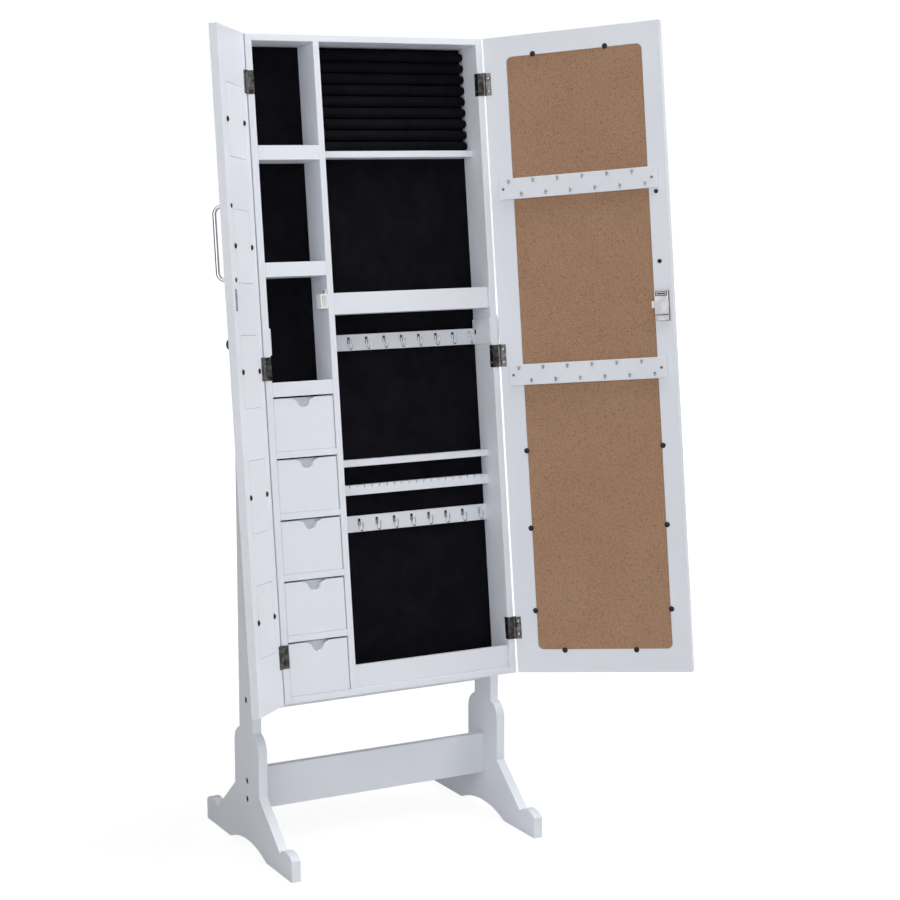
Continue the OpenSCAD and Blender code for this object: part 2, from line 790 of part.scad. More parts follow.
// --- drawers --------------------------------------------------------------------------------------
module drawer_front(row) {
  w = column_w - 2 * drawer_end_gap;
  h = drawer_front_h;
  color("white") on_case()
    translate([column_x + drawer_end_gap, 0, drawer_floor_z(row) + slide_clear])
      plate(drawer_setback, drawer_front_t) difference() {
        square([w, h]);
        translate([w / 2, h - notch_flare]) circle(notch_r);
        translate([w / 2, h]) polygon([[-notch_top_w / 2, 1], [-notch_top_w / 2, 0], [-notch_r, -notch_flare],
          [notch_r, -notch_flare], [notch_top_w / 2, 0], [notch_top_w / 2, 1]]);
      }
}

// A tray whose front wall stands as high as the drawer's front and closes its notch from behind.
module drawer_tray(row) {
  gap = drawer_end_gap + slide_clear;
  w = column_w - 2 * gap;
  front_y = drawer_setback + drawer_front_t;
  d = inner_d - front_y - 4;
  color("white") on_case()
    translate([column_x + gap, front_y, drawer_floor_z(row) + slide_clear]) difference() {
      union() {
        cube([w, d, tray_h]);
        cube([w, tray_wall_t, drawer_front_h]);
      }
      translate([tray_wall_t, tray_wall_t, tray_floor_t]) cube([w - 2 * tray_wall_t, d - 2 * tray_wall_t, tray_h]);
    }
}

// --- left door ------------------------------------------------------------------------------------
module left_door_frame() {
  color("white") on_left_door() difference() {
    board(0, -door_t, 0, left_door_w, door_t, case_h);
    for (row = [0 : photo_count - 1]) {
      z = case_h - photo_drop - row * photo_pitch - photo_h;
      board(photo_x - photo_gap, -photo_depth, z - photo_gap,
        photo_w + 2 * photo_gap, photo_depth + 1, photo_h + 2 * photo_gap);
      board(photo_x + photo_overlap, -door_t - 1, z + photo_overlap,
        photo_w - 2 * photo_overlap, door_t, photo_h - 2 * photo_overlap);
    }
    rotate([0, 0, 180]) knuckle_room();
  }
}

module photo_sheets(y, t) {
  on_left_door() for (row = [0 : photo_count - 1])
    board(photo_x, y, case_h - photo_drop - row * photo_pitch - photo_h, photo_w, t, photo_h);
}

module photo_glass() {
  color("lightblue") photo_sheets(-photo_depth + slide_clear / 2, photo_glass_t);
}

module photo_backings() {
  color("whitesmoke") photo_sheets(-photo_back_t, photo_back_t);
}

module left_door_pull() {
  color("silver") on_left_door() pull(left_pull_x, case_h - pull_drop);
}

module left_door_screws() {
  color("black") on_left_door() {
    for (row = [0 : photo_count - 1], side = [-1, 1]) {
      x = photo_x + photo_w / 2 + side * (photo_w / 2 + photo_screw_out);
      z = case_h - photo_drop - row * photo_pitch - photo_h / 2;
      translate([x, 0, z]) rotate([0, 0, 180]) washer_screw();
    }
    pull_screws(left_pull_x);
    door_leaf_screws();
  }
}

module left_hinge_leaves() {
  color("dimgray") on_left_door() for (z = hinge_z) translate([0, 0, z]) rotate([0, 0, 180]) door_leaf();
}

module strike_plate() {
  x = divider_x + case_w / 2 - catch_w / 2;
  color("silver") on_left_door() board(x - 5, 0, case_h - catch_drop - catch_h - 1, 10, 0.8, catch_h + 12);
}

// A pan-head screw on its washer, under y = 0 on the side of -y.
module washer_screw() {
  washer_t = 0.8;
  translate([0, -washer_t, 0]) wood_screw(4.1, 1.9, 1.3, 9);
  rotate([90, 0, 0]) cylinder(h = washer_t, r = 5.2);
}

module door_leaf_screws() {
  rotate([0, 0, 180]) mirror([1, 0, 0]) leaf_screws();
}

module pull_screws(x) {
  for (side = [-1, 1]) translate([x, 0, case_h - pull_drop + side * pull_centres / 2])
    rotate([0, 0, 180]) wood_screw(4, 1.6, 2, door_t - 0.5);
}

// --- right door -----------------------------------------------------------------------------------
module right_door_frame() {
  lock_back = lock_deep + slide_clear;
  color("white") on_right_door() difference() {
    board(0, -door_t, 0, right_door_w, door_t, case_h);
    translate([hinge_stile, 0, bottom_margin]) plate(mirror_lip_t - door_t, door_t)
      rounded_rect(panel_w, panel_h, rebate_r);
    translate([hinge_stile + mirror_overlap, 0, bottom_margin + mirror_overlap])
      plate(-door_t - 1, door_t)
        rounded_rect(panel_w - 2 * mirror_overlap, panel_h - 2 * mirror_overlap, rebate_r);
    board(lock_x - slide_clear, -lock_back, lock_z - slide_clear,
      lock_w + 2 * slide_clear, lock_back + 1, lock_h + 2 * slide_clear);
    translate([lock_x + lock_w / 2, 1, bolt_z]) rotate([90, 0, 0]) cylinder(h = door_t + 2, r = barrel_r + slide_clear);
    rotate([0, 0, 180]) knuckle_room();
  }
}

module mirror_sheet_outline(inset) {
  translate([hinge_stile + inset, 0, bottom_margin + inset]) children();
}

module mirror_glass() {
  color("lightsteelblue") on_right_door() mirror_sheet_outline(slide_clear)
    plate(mirror_lip_t - door_t, mirror_t)
      rounded_rect(panel_w - 2 * slide_clear, panel_h - 2 * slide_clear, rebate_r);
}

module cork_board() {
  color("peru") on_right_door() mirror_sheet_outline(slide_clear)
    plate(-cork_recess - cork_t, cork_t)
      rounded_rect(panel_w - 2 * slide_clear, panel_h - 2 * slide_clear, rebate_r);
}

module door_hook_rails() {
  color("white") on_right_door()
    for (drop = [upper_rail_drop, lower_rail_drop])
      board(rail_inset, 0, case_h - drop - rail_h, rail_l, rail_t, rail_h);
}

module necklace_hooks() {
  first_x = right_door_w / 2 - (rail_hooks - 1) * rail_hook_step / 2;
  row_drops = [4, 28];
  color("silver") on_right_door()
    for (drop = [upper_rail_drop, lower_rail_drop], k = [0 : rail_hooks - 1])
      translate([first_x + k * rail_hook_step, rail_t, case_h - drop - row_drops[k % 2]])
        rotate([0, 0, 180]) wire_hook(3, 3, 0.9, 3.5, 3);
}

module right_door_pull() {
  color("silver") on_right_door() pull(right_pull_x, case_h - pull_drop);
}

module right_door_screws() {
  side_drops = [778, 925, 1082];
  color("black") on_right_door() {
    for (x = [hinge_stile - panel_screw_out, right_door_w - lock_stile + panel_screw_out], drop = side_drops)
      translate([x, 0, case_h - drop]) rotate([0, 0, 180]) washer_screw();
    for (x = [hinge_stile + panel_w * 0.2, hinge_stile + panel_w * 0.735],
        z = [bottom_margin - panel_screw_out, case_h - top_margin + panel_screw_out])
      translate([x, 0, z]) rotate([0, 0, 180]) washer_screw();
    for (x = [rail_inset, rail_inset + rail_l], drop = [upper_rail_drop, lower_rail_drop]) {
      inward = x < right_door_w / 2 ? 9 : -9;
      translate([x + inward, rail_t, case_h - drop - rail_h / 2]) rotate([0, 0, 180]) wood_screw(2.6, 1, 1.5, 16);
    }
    pull_screws(right_pull_x);
    door_leaf_screws();
  }
}

module right_hinge_leaves() {
  color("dimgray") on_right_door() for (z = hinge_z) translate([0, 0, z]) rotate([0, 0, 180]) door_leaf();
}

// The lock: a flat case let into the door, with a raised frame above, a seam below, a barrel for the
// key plug, and a slot for the bolt behind its face.
module lock_case() {
  window_in = 2;
  window_w = lock_w - 2 * window_in;
  window_h = 8;
  groove = 1.3;
  groove_depth = 0.8;
  seam_drop = 44;
  window_z = lock_z + lock_h - window_in - window_h;
  window_inset = groove + 1.5;
  color("silver") on_right_door() difference() {
    union() {
      board(lock_x, -lock_deep, lock_z, lock_w, lock_deep + lock_proud, lock_h);
      translate([lock_x + lock_w / 2, -lock_deep + 1, bolt_z]) rotate([90, 0, 0])
        cylinder(h = door_t - lock_deep + 1, r = barrel_r);
    }
    board(lock_x - 1, bolt_y - bolt_t / 2 - slide_clear, bolt_z - bolt_h / 2 - slide_clear,
      lock_w + 2, bolt_t + 2 * slide_clear, bolt_h + 2 * slide_clear);
    difference() {
      board(lock_x + window_in, lock_proud - groove_depth, window_z, window_w, 2, window_h);
      board(lock_x + window_in + groove, lock_proud - 1, window_z + groove, window_w - 2 * groove, 3, window_h - 2 * groove);
    }
    board(lock_x + window_in + window_inset, lock_proud - groove_depth, window_z + window_inset,
      window_w - 2 * window_inset, 2, window_h - 2 * window_inset);
    board(lock_x - 1, lock_proud - groove_depth, lock_z + lock_h - seam_drop - groove, lock_w + 2, 2, groove);
    translate([lock_x + lock_w / 2, -1, bolt_z]) rotate([90, 0, 0]) cylinder(h = door_t, r = plug_r + run_clear);
  }
}

module lock_key_plug() {
  color("silver") on_right_door() translate([lock_x + lock_w / 2, -door_t, bolt_z]) difference() {
    union() {
      rotate([-90, 0, 0]) cylinder(h = door_t - 1.5, r = plug_r);
      rotate([90, 0, 0]) cylinder(h = 0.8, r = plug_r - 0.5);
    }
    board(-0.7, -1, -3.4, 1.4, 6, 6.8);
  }
}

module lock_bolt() {
  color("whitesmoke") on_right_door()
    board(lock_x - bolt_tail, bolt_y - bolt_t / 2, bolt_z - bolt_h / 2, lock_w + bolt_tail, bolt_t, bolt_h);
}

// --- which node is drawn ----------------------------------------------------------------------------
left_upright();
right_upright();
crossbar();
stop_rail();
stand_bolts();
pivot_washers();
left_tilt_knob();
right_tilt_knob();
left_side();
right_side();
top_panel();
bottom_panel();
divider();
back_panel();
velvet_lining();
cubby_shelves();
drawer_rails();
ring_shelf();
ring_rolls();
bottle_shelf();
bottle_shelf_lip();
upper_earring_strip();
lower_earring_strip();
earring_hooks();
earring_ledge();
slotted_bar();
bottom_tray_lip();
magnetic_catch();
pivot_plates();
case_hinge_leaves();
hinge_pins();
case_screws();
drawer_front(1);  // drawer_1_front
drawer_tray(1);  // drawer_1_tray
drawer_front(2);  // drawer_2_front
drawer_tray(2);  // drawer_2_tray
drawer_front(3);  // drawer_3_front
drawer_tray(3);  // drawer_3_tray
drawer_front(4);  // drawer_4_front
drawer_tray(4);  // drawer_4_tray
drawer_front(5);  // drawer_5_front
drawer_tray(5);  // drawer_5_tray
left_door_frame();
photo_glass();
photo_backings();
left_door_pull();
left_door_screws();
left_hinge_leaves();
strike_plate();
right_door_frame();
mirror_glass();  // mirror
cork_board();
door_hook_rails();
necklace_hooks();
right_door_pull();
right_door_screws();
right_hinge_leaves();
lock_case();
lock_key_plug();
lock_bolt();
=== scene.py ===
"""Looks of the jewelry armoire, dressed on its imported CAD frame.

Every board, door, hinge and hook keeps the place that the frame gives it. Boards get eased edges,
what repeats is set out by Geometry Nodes, and velvet, cork, lacquer and metal are procedural.
"""
from __future__ import annotations

import json
import logging
import math
from dataclasses import dataclass, field
from enum import Enum
from itertools import combinations
from typing import Iterable, Sequence

import bmesh
import bpy
from mathutils import Matrix, Vector, noise


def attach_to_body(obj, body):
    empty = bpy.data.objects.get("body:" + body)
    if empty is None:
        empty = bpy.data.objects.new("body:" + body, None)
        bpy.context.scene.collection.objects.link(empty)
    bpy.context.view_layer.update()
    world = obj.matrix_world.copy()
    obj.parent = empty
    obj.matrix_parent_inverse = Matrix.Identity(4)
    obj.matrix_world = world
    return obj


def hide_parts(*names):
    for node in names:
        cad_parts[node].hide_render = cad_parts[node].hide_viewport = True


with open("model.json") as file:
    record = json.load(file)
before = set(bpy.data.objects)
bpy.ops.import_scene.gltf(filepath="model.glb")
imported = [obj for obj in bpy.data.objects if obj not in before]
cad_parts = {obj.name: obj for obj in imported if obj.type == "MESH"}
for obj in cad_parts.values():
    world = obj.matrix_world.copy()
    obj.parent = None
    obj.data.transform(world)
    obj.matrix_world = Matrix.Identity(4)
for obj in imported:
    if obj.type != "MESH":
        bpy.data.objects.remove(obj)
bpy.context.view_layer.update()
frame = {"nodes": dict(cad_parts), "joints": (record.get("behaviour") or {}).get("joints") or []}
LOG = logging.getLogger("armoire")

MM = 0.001
MERGE = 2e-6                # vertices nearer than this are one vertex
FLAT_ANGLE = 0.4            # faces that meet at less than this many degrees are one face
SOFT_ANGLE = 40.0           # edges below this many degrees are shaded smooth
HARD_ANGLE = 28.0           # edges above this many degrees are rounded over
OPPOSED = -0.5              # two edges whose directions' cosine is below this run against each other
STRIP = 2.2                 # a strip narrower than this many eases keeps one edge sharp
SCREW_SIDES = 24
WIRE_SIDES, WIRE_STEPS = 12, 26
ROLL_SIDES, ROLL_STEPS = 20, 72
METAL_EASE = 0.2 * MM       # rounding of bent and turned metal
LEAF_EASE = 0.25 * MM       # rounding of hinge leaves
SMALL_EASE = 0.3 * MM       # rounding of small blocks and bars
PANEL_EASE = 0.4 * MM       # rounding of bolts, panes and backings
Colour = tuple[float, float, float]
Place = tuple[float, float, float]
Box = tuple[Vector, Vector]
Node = bpy.types.Node
Socket = bpy.types.NodeSocket
Piece = bpy.types.Object
Shape = bmesh.types.BMesh


# --- axes -----------------------------------------------------------------------------------------
def corners(points: Sequence[Vector]) -> Box:
    """The lowest and highest corner of some points."""
    return tuple(Vector(pick(p[k] for p in points) for k in range(3)) for pick in (min, max))


def joint(name: str) -> dict:
    """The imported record's joint of that name."""
    return next(j for j in frame["joints"] if j["name"] == name)


@dataclass(frozen=True)
class Axes:
    """A sub-assembly's own axes: x to the right, y to the back and z up, when it is shut and upright.

    Args:
        matrix: where those axes lie in the row frame, in the rest pose.
    """

    matrix: Matrix

    @classmethod
    def case(cls) -> Axes:
        """Finds the leaning case's axes, with their origin midway between the two door pins.

        Returns:
            Axes whose z runs along the door pins, upwards.
        """
        left, right = joint("left_door_swing"), joint("right_door_swing")
        up = Vector(right["axis"]).normalized()
        side = Vector((1, 0, 0))
        middle = (Vector(left["pos_m"]) + Vector(right["pos_m"])) / 2
        turn = Matrix((side, up.cross(side), up)).transposed().to_4x4()
        return cls(Matrix.Translation(middle) @ turn)

    @classmethod
    def door(cls, swing: str) -> Axes:
        """A door's axes, with their origin on its pins.

        Args:
            swing: the name of the joint that the door hangs on.

        Returns:
            Axes that point as the case's do once the door is shut.
        """
        hinge = joint(swing)
        opened = Matrix.Rotation(math.radians(-hinge["range_deg"][0]), 4, Vector(hinge["axis"]))
        return cls(Matrix.Translation(hinge["pos_m"]) @ opened @ cls.case().matrix.to_3x3().to_4x4())

    @property
    def inverse(self) -> Matrix:
        """What carries a point of the row frame into these axes."""
        return self.matrix.inverted()

    def turned(self, degrees: float) -> Axes:
        """These axes turned about their own z."""
        return Axes(self.matrix @ Matrix.Rotation(math.radians(degrees), 4, "Z"))

    def solids(self, node: str) -> list[Box]:
        """Finds the lowest and highest corner of each separate solid of a CAD node, in these axes.

        Args:
            node: the CAD node.

        Returns:
            A box for each solid, in the order of the mesh.
        """
        mesh = bmesh.new()
        mesh.from_mesh(frame["nodes"][node].data)
        bmesh.ops.remove_doubles(mesh, verts=mesh.verts, dist=MERGE)
        inverse, seen, boxes = self.inverse, set(), []
        for start in mesh.verts:
            if start in seen:
                continue
            seen.add(start)
            todo, points = [start], []
            while todo:
                vertex = todo.pop()
                points.append(inverse @ vertex.co)
                for edge in vertex.link_edges:
                    other = edge.other_vert(vertex)
                    if other not in seen:
                        seen.add(other)
                        todo.append(other)
            boxes.append(corners(points))
        mesh.free()
        return boxes

    def box(self, node: str) -> Box:
        """The lowest and highest corner of a whole CAD node, in these axes."""
        return corners([self.inverse @ v.co for v in frame["nodes"][node].data.vertices])


# --- shader kit -----------------------------------------------------------------------------------
class Nodes:
    """A node tree with short ways to add and join nodes.

    Args:
        tree: the shader or geometry tree to build in.
    """

    def __init__(self, tree: bpy.types.NodeTree) -> None:
        """Keeps the tree and starts with no nodes placed."""
        self.tree = tree
        self.count = 0

    def add(self, kind: str, inputs: dict | None = None, **settings: object) -> Node:
        """Adds a node.

        Args:
            kind: Blender's name for the node type.
            inputs: for each socket, by name or number, a constant or the output that feeds it.
            settings: the node's own properties.

        Returns:
            The new node.
        """
        made = self.tree.nodes.new(kind)
        made.location = (self.count % 8 * 220, -(self.count // 8) * 260)
        self.count += 1
        for name, value in settings.items():
            setattr(made, name, value)
        self.feed(made, inputs or {})
        return made

    def feed(self, node: Node, inputs: dict) -> None:
        """Sets inputs of a node.

        Args:
            node: the node.
            inputs: for each socket, by name or number, a constant or the output that feeds it.
        """
        for name, value in inputs.items():
            socket = node.inputs[name] if isinstance(name, int) else next(
                s for s in node.inputs if s.name == name and s.enabled)
            if isinstance(value, Socket):
                self.tree.links.new(value, socket)
            else:
                socket.default_value = value

    def out(self, kind: str, inputs: dict | None = None, **settings: object) -> Socket:
        """Adds a node and gives its first output."""
        return self.add(kind, inputs, **settings).outputs[0]

    def math(self, operation: str, *terms: object) -> Socket:
        """The result of a Math node on numbers or outputs."""
        return self.out("ShaderNodeMath", dict(enumerate(terms)), operation=operation)

    def blend(self, amount: object, low: object, high: object) -> Socket:
        """A colour between low and high."""
        return self.add("ShaderNodeMix", {0: amount, 6: low, 7: high}, data_type="RGBA").outputs[2]

    def mix(self, amount: object, low: object, high: object) -> Socket:
        """A number between low and high."""
        return self.out("ShaderNodeMix", {0: amount, 2: low, 3: high}, data_type="FLOAT")

    def range(self, value: object, low: float, high: float, to_low: float, to_high: float) -> Socket:
        """A number carried from one range to another and held inside it."""
        return self.out("ShaderNodeMapRange", {"Value": value, "From Min": low, "From Max": high,
                                               "To Min": to_low, "To Max": to_high})

    def group(self, shared: Shared, inputs: dict) -> Node:
        """Adds a shared effect with its inputs set."""
        return self.add("ShaderNodeGroup", inputs, node_tree=shared.tree)

    def place(self) -> Socket:
        """The point's place on the object."""
        return self.add("ShaderNodeTexCoord").outputs["Object"]

    def noise(self, scale: object, detail: float, **more: float) -> Socket:
        """Noise from 0 to 1 over the object."""
        return self.add("ShaderNodeTexNoise", {"Vector": self.place(), "Scale": scale, "Detail": detail,
                                               **more}).outputs["Fac"]

    def join(self, *parts: Socket) -> Socket:
        """Joins geometries.

        Args:
            parts: the geometries.

        Returns:
            The output that holds them all.
        """
        joined = self.add("GeometryNodeJoinGeometry")
        for part in parts:
            self.tree.links.new(part, joined.inputs[0])
        return joined.outputs[0]


def rgba(colour: Colour) -> tuple[float, float, float, float]:
    """A colour with full alpha."""
    return (*colour, 1.0)


def new_group(name: str, kind: str, inputs: Iterable[tuple], outputs: Iterable[tuple]) -> Nodes:
    """Starts a node group.

    Args:
        name: the group's name.
        kind: the tree's type.
        inputs: name, type and default of each input.
        outputs: name and type of each output.

    Returns:
        The empty group's nodes.
    """
    tree = bpy.data.node_groups.new(name, kind)
    for label, socket, *default in inputs:
        made = tree.interface.new_socket(label, in_out="INPUT", socket_type="NodeSocket" + socket)
        if default:
            made.default_value = default[0]
    for label, socket in outputs:
        tree.interface.new_socket(label, in_out="OUTPUT", socket_type="NodeSocket" + socket)
    return Nodes(tree)


def relief_group() -> bpy.types.NodeTree:
    """Builds the fine unevenness of a surface, from two scales of noise.

    Returns:
        The group, whose height runs from 0 to 1.
    """
    kit = new_group("Surface Relief", "ShaderNodeTree", [("Scale", "Float", 400.0)], [("Height", "Float")])
    scale = kit.out("NodeGroupInput")
    coarse = kit.noise(kit.math("MULTIPLY", scale, 0.11), 2.0)
    kit.add("NodeGroupOutput", {"Height": kit.mix(0.4, kit.noise(scale, 3.0, Roughness=0.6), coarse)})
    return kit.tree


def drift_group() -> bpy.types.NodeTree:
    """Builds the slow change of tone and of polish that hands and cloths leave on a surface.

    Returns:
        The group, with a colour and a roughness.
    """
    kit = new_group("Tone Drift", "ShaderNodeTree",
                    [("Tone", "Color"), ("Aged Tone", "Color"), ("Polish", "Float"),
                     ("Polish Drift", "Float"), ("Scale", "Float")],
                    [("Colour", "Color"), ("Roughness", "Float")])
    given = kit.add("NodeGroupInput").outputs
    far = kit.range(kit.noise(given["Scale"], 4.0, Roughness=0.55), 0.35, 0.7, 0.0, 1.0)
    swing = kit.math("MULTIPLY", kit.math("SUBTRACT", far, 0.5), given["Polish Drift"])
    kit.add("NodeGroupOutput", {"Colour": kit.blend(far, given["Tone"], given["Aged Tone"]),
                                "Roughness": kit.math("ADD", given["Polish"], swing)})
    return kit.tree


def grain_group() -> bpy.types.NodeTree:
    """Builds pressed granules.

    Returns:
        The group, with a random number and an edge mask for each cell.
    """
    kit = new_group("Granules", "ShaderNodeTree",
                    [("Scale", "Float", 500.0), ("Warp", "Float", 0.6)],
                    [("Pick", "Float"), ("Depth", "Float")])
    given, place = kit.add("NodeGroupInput").outputs, kit.place()
    swirl = kit.add("ShaderNodeTexNoise", {"Vector": place, "Scale": given["Scale"], "Detail": 2.0})
    reach = kit.math("DIVIDE", given["Warp"], given["Scale"])
    push = kit.out("ShaderNodeVectorMath", {0: swirl.outputs["Color"], 3: reach}, operation="SCALE")
    moved = kit.out("ShaderNodeVectorMath", {0: place, 1: push}, operation="ADD")
    cells = kit.add("ShaderNodeTexVoronoi", {"Vector": moved, "Scale": given["Scale"]})
    pick = kit.out("ShaderNodeSeparateColor", {0: cells.outputs["Color"]})
    kit.add("NodeGroupOutput", {"Pick": pick, "Depth": cells.outputs["Distance"]})
    return kit.tree


class Shared(Enum):
    """The effects that several finishes use, each a node group built once."""

    RELIEF = "Surface Relief"
    DRIFT = "Tone Drift"
    GRAIN = "Granules"

    @property
    def tree(self) -> bpy.types.NodeTree:
        """The effect's node group, built at its first use."""
        makers = {Shared.RELIEF: relief_group, Shared.DRIFT: drift_group, Shared.GRAIN: grain_group}
        return bpy.data.node_groups.get(self.value) or makers[self]()


# --- finishes -------------------------------------------------------------------------------------
@dataclass(frozen=True)
class Finish:
    """A plain finish: an even tone that drifts slightly, over a fine relief.

    Args:
        name: the material's name.
        slot: the record's material slot that it is meant for; not used.
        tone: main colour.
        aged: the colour that it drifts towards.
        polish: mean roughness.
        polish_drift: how far the roughness swings.
        drift_scale: how many drifts there are in a metre.
        relief: height of the bump, in metres.
        relief_scale: how fine the bump is.
        metallic: 1 for bare metal.
    """

    name: str
    slot: str
    tone: Colour
    aged: Colour
    polish: float = 0.4
    polish_drift: float = 0.08
    drift_scale: float = 5.0
    relief: float = 0.00002
    relief_scale: float = 400.0
    metallic: float = 0.0

    def shade(self, kit: Nodes, shader: Node) -> None:
        """Feeds the shader's colour, roughness and normal.

        Args:
            kit: the material's nodes.
            shader: its Principled BSDF.
        """
        drift = kit.group(Shared.DRIFT, {
            "Tone": rgba(self.tone), "Aged Tone": rgba(self.aged), "Polish": self.polish,
            "Polish Drift": self.polish_drift, "Scale": self.drift_scale}).outputs
        kit.feed(shader, {"Base Color": drift["Colour"], "Roughness": drift["Roughness"]})
        self.bump(kit, shader, self.relief_height(kit))

    def relief_height(self, kit: Nodes) -> Socket:
        """The height that the bump follows."""
        return kit.group(Shared.RELIEF, {"Scale": self.relief_scale}).outputs["Height"]

    def bump(self, kit: Nodes, shader: Node, height: Socket) -> None:
        """Turns a height from 0 to 1 into the shader's normal."""
        bump = kit.out("ShaderNodeBump", {"Height": height, "Distance": self.relief, "Strength": 1.0})
        kit.feed(shader, {"Normal": bump})

    def material(self) -> bpy.types.Material:
        """Gives the finish as a material.

        Returns:
            The material, which is built at its first use.
        """
        made = bpy.data.materials.get(self.name)
        if not made:
            made = bpy.data.materials.new(self.name)
            made.use_nodes = True
            made.diffuse_color = rgba(self.tone)
            kit, shader = Nodes(made.node_tree), made.node_tree.nodes["Principled BSDF"]
            kit.feed(shader, {"Metallic": self.metallic})
            self.shade(kit, shader)
        return made


@dataclass(frozen=True)
class Velvet(Finish):
    """Short black pile that leans this way and that, with a soft sheen where it is brushed.

    Args:
        sheen: weight of the pile's sheen.
        brushed: size of the brushed patches, as a noise scale.
    """

    sheen: float = 0.04
    brushed: float = 22.0

    def shade(self, kit: Nodes, shader: Node) -> None:
        """Colours the pile by the way it leans and raises its fibres.

        Args:
            kit: the material's nodes.
            shader: its Principled BSDF.
        """
        patches = kit.noise(self.brushed, 5.0, Roughness=0.65, Distortion=0.8)
        fibres = self.relief_height(kit)
        lean = kit.range(patches, 0.38, 0.66, 0.0, 0.75)
        tuft = kit.range(fibres, 0.3, 0.7, 0.0, 0.25)
        kit.feed(shader, {
            "Base Color": kit.blend(kit.math("ADD", lean, tuft), rgba(self.tone), rgba(self.aged)),
            "Roughness": self.polish, "Specular IOR Level": 0.08, "Sheen Weight": self.sheen,
            "Sheen Roughness": 0.35, "Sheen Tint": (0.55, 0.53, 0.6, 1)})
        self.bump(kit, shader, fibres)


@dataclass(frozen=True)
class Cork(Finish):
    """Pressed cork: fine granules of several browns, with darker bark crumbs among them.

    Args:
        bark: the colour of the dark crumbs.
        pale: the colour of the lightest granules.
        granules: how many granules there are in a metre.
    """

    bark: Colour = (0.12, 0.055, 0.025)
    pale: Colour = (0.55, 0.36, 0.22)
    granules: float = 900.0

    def shade(self, kit: Nodes, shader: Node) -> None:
        """Colours each granule and presses the joints between them down.

        Args:
            kit: the material's nodes.
            shader: its Principled BSDF.
        """
        small = kit.group(Shared.GRAIN, {"Scale": self.granules, "Warp": 0.7}).outputs
        crumbs = kit.group(Shared.GRAIN, {"Scale": self.granules * 0.45, "Warp": 0.9}).outputs
        slow = kit.range(kit.noise(9.0, 3.0), 0.3, 0.7, 0.0, 1.0)
        tone = kit.blend(slow, rgba(self.tone), rgba(self.aged))
        light = kit.blend(kit.range(small["Pick"], 0.45, 1.0, 0.0, 0.6), tone, rgba(self.pale))
        dark = kit.blend(kit.range(crumbs["Pick"], 0.88, 1.0, 0.0, 0.45), light, rgba(self.bark))
        joints = kit.range(small["Depth"], 0.45, 0.8, 0.0, 0.3)
        kit.feed(shader, {"Base Color": kit.blend(joints, dark, rgba(self.bark)), "Roughness": self.polish})
        self.bump(kit, shader, kit.math("SUBTRACT", 1.0, small["Depth"]))


@dataclass(frozen=True)
class ClearGlass(Finish):
    """Thin clear picture glass."""

    def shade(self, kit: Nodes, shader: Node) -> None:
        """Lets light through, with a trace of unevenness on the face."""
        kit.feed(shader, {"Base Color": rgba(self.tone), "Roughness": self.polish, "IOR": 1.5,
                          "Transmission Weight": 1.0})
        self.bump(kit, shader, self.relief_height(kit))


LACQUER = Finish("white_lacquer", "white_board", (0.785, 0.81, 0.87), (0.76, 0.785, 0.845), polish=0.38,
                 polish_drift=0.07, relief=0.000012, relief_scale=900.0)
CARD = Finish("white_hardboard", "photo_card", (0.775, 0.80, 0.858), (0.75, 0.772, 0.828), polish=0.55,
              polish_drift=0.1, relief=0.00003, relief_scale=1400.0, drift_scale=14.0)
VELVET = Velvet("black_velvet", "velvet", (0.0026, 0.0023, 0.0038), (0.0068, 0.0060, 0.0095), polish=0.9,
                relief=0.00018, relief_scale=1900.0)
CORK = Cork("pressed_cork", "cork", (0.355, 0.198, 0.117), (0.395, 0.228, 0.138), polish=0.85, relief=0.00025)
MIRROR = Finish("silvered_mirror", "mirror_glass", (0.90, 0.905, 0.91), (0.89, 0.90, 0.905), polish=0.035,
                polish_drift=0.02, relief=0.000001, relief_scale=30.0, metallic=1.0)
GLASS = ClearGlass("picture_glass", "clear_glass", (0.96, 0.975, 0.97), (0.96, 0.975, 0.97), polish=0.02,
                   relief=0.000001, relief_scale=40.0)
CHROME = Finish("polished_chrome", "bright_metal", (0.70, 0.70, 0.715), (0.62, 0.62, 0.64), polish=0.16,
                polish_drift=0.1, relief=0.000004, relief_scale=700.0, metallic=1.0, drift_scale=40.0)
WIRE = Finish("chromed_wire", "bright_metal", (0.46, 0.46, 0.475), (0.36, 0.36, 0.37), polish=0.16,
              polish_drift=0.08, relief=0.000004, relief_scale=700.0, metallic=1.0, drift_scale=40.0)
SATIN = Finish("satin_chrome", "bright_metal", (0.47, 0.47, 0.48), (0.38, 0.38, 0.39), polish=0.34,
               polish_drift=0.12, relief=0.000005, relief_scale=900.0, metallic=1.0, drift_scale=70.0)
NICKEL = Finish("antique_nickel", "dark_metal", (0.08, 0.078, 0.077), (0.27, 0.262, 0.256), polish=0.36,
                polish_drift=0.2, relief=0.00002, relief_scale=1500.0, metallic=1.0, drift_scale=120.0)
BRIGHT_NICKEL = Finish("bright_nickel", "dark_metal", (0.60, 0.597, 0.592), (0.45, 0.445, 0.44), polish=0.25,
                       polish_drift=0.15, relief=0.00001, relief_scale=900.0, metallic=1.0, drift_scale=90.0)
# Black oxide for the bolts and screws; the lock's groove faces also take it, as painted shade.
BLACK_STEEL_AND_GROOVE_SHADE = Finish("black_oxide_and_groove_shade", "black_metal", (0.022, 0.022, 0.025), (0.05, 0.05, 0.055), polish=0.35,
                     polish_drift=0.15, relief=0.00001, relief_scale=900.0, metallic=0.9, drift_scale=80.0)
WHITE_PLASTIC = Finish("white_plastic", "white_plastic", (0.78, 0.79, 0.81), (0.72, 0.73, 0.75), polish=0.42,
                       relief=0.00001, relief_scale=1200.0, drift_scale=30.0)
DARK_PLASTIC = Finish("dark_plastic", "dark_plastic", (0.025, 0.025, 0.028), (0.045, 0.045, 0.05), polish=0.5,
                      relief=0.00004, relief_scale=1600.0, drift_scale=30.0)


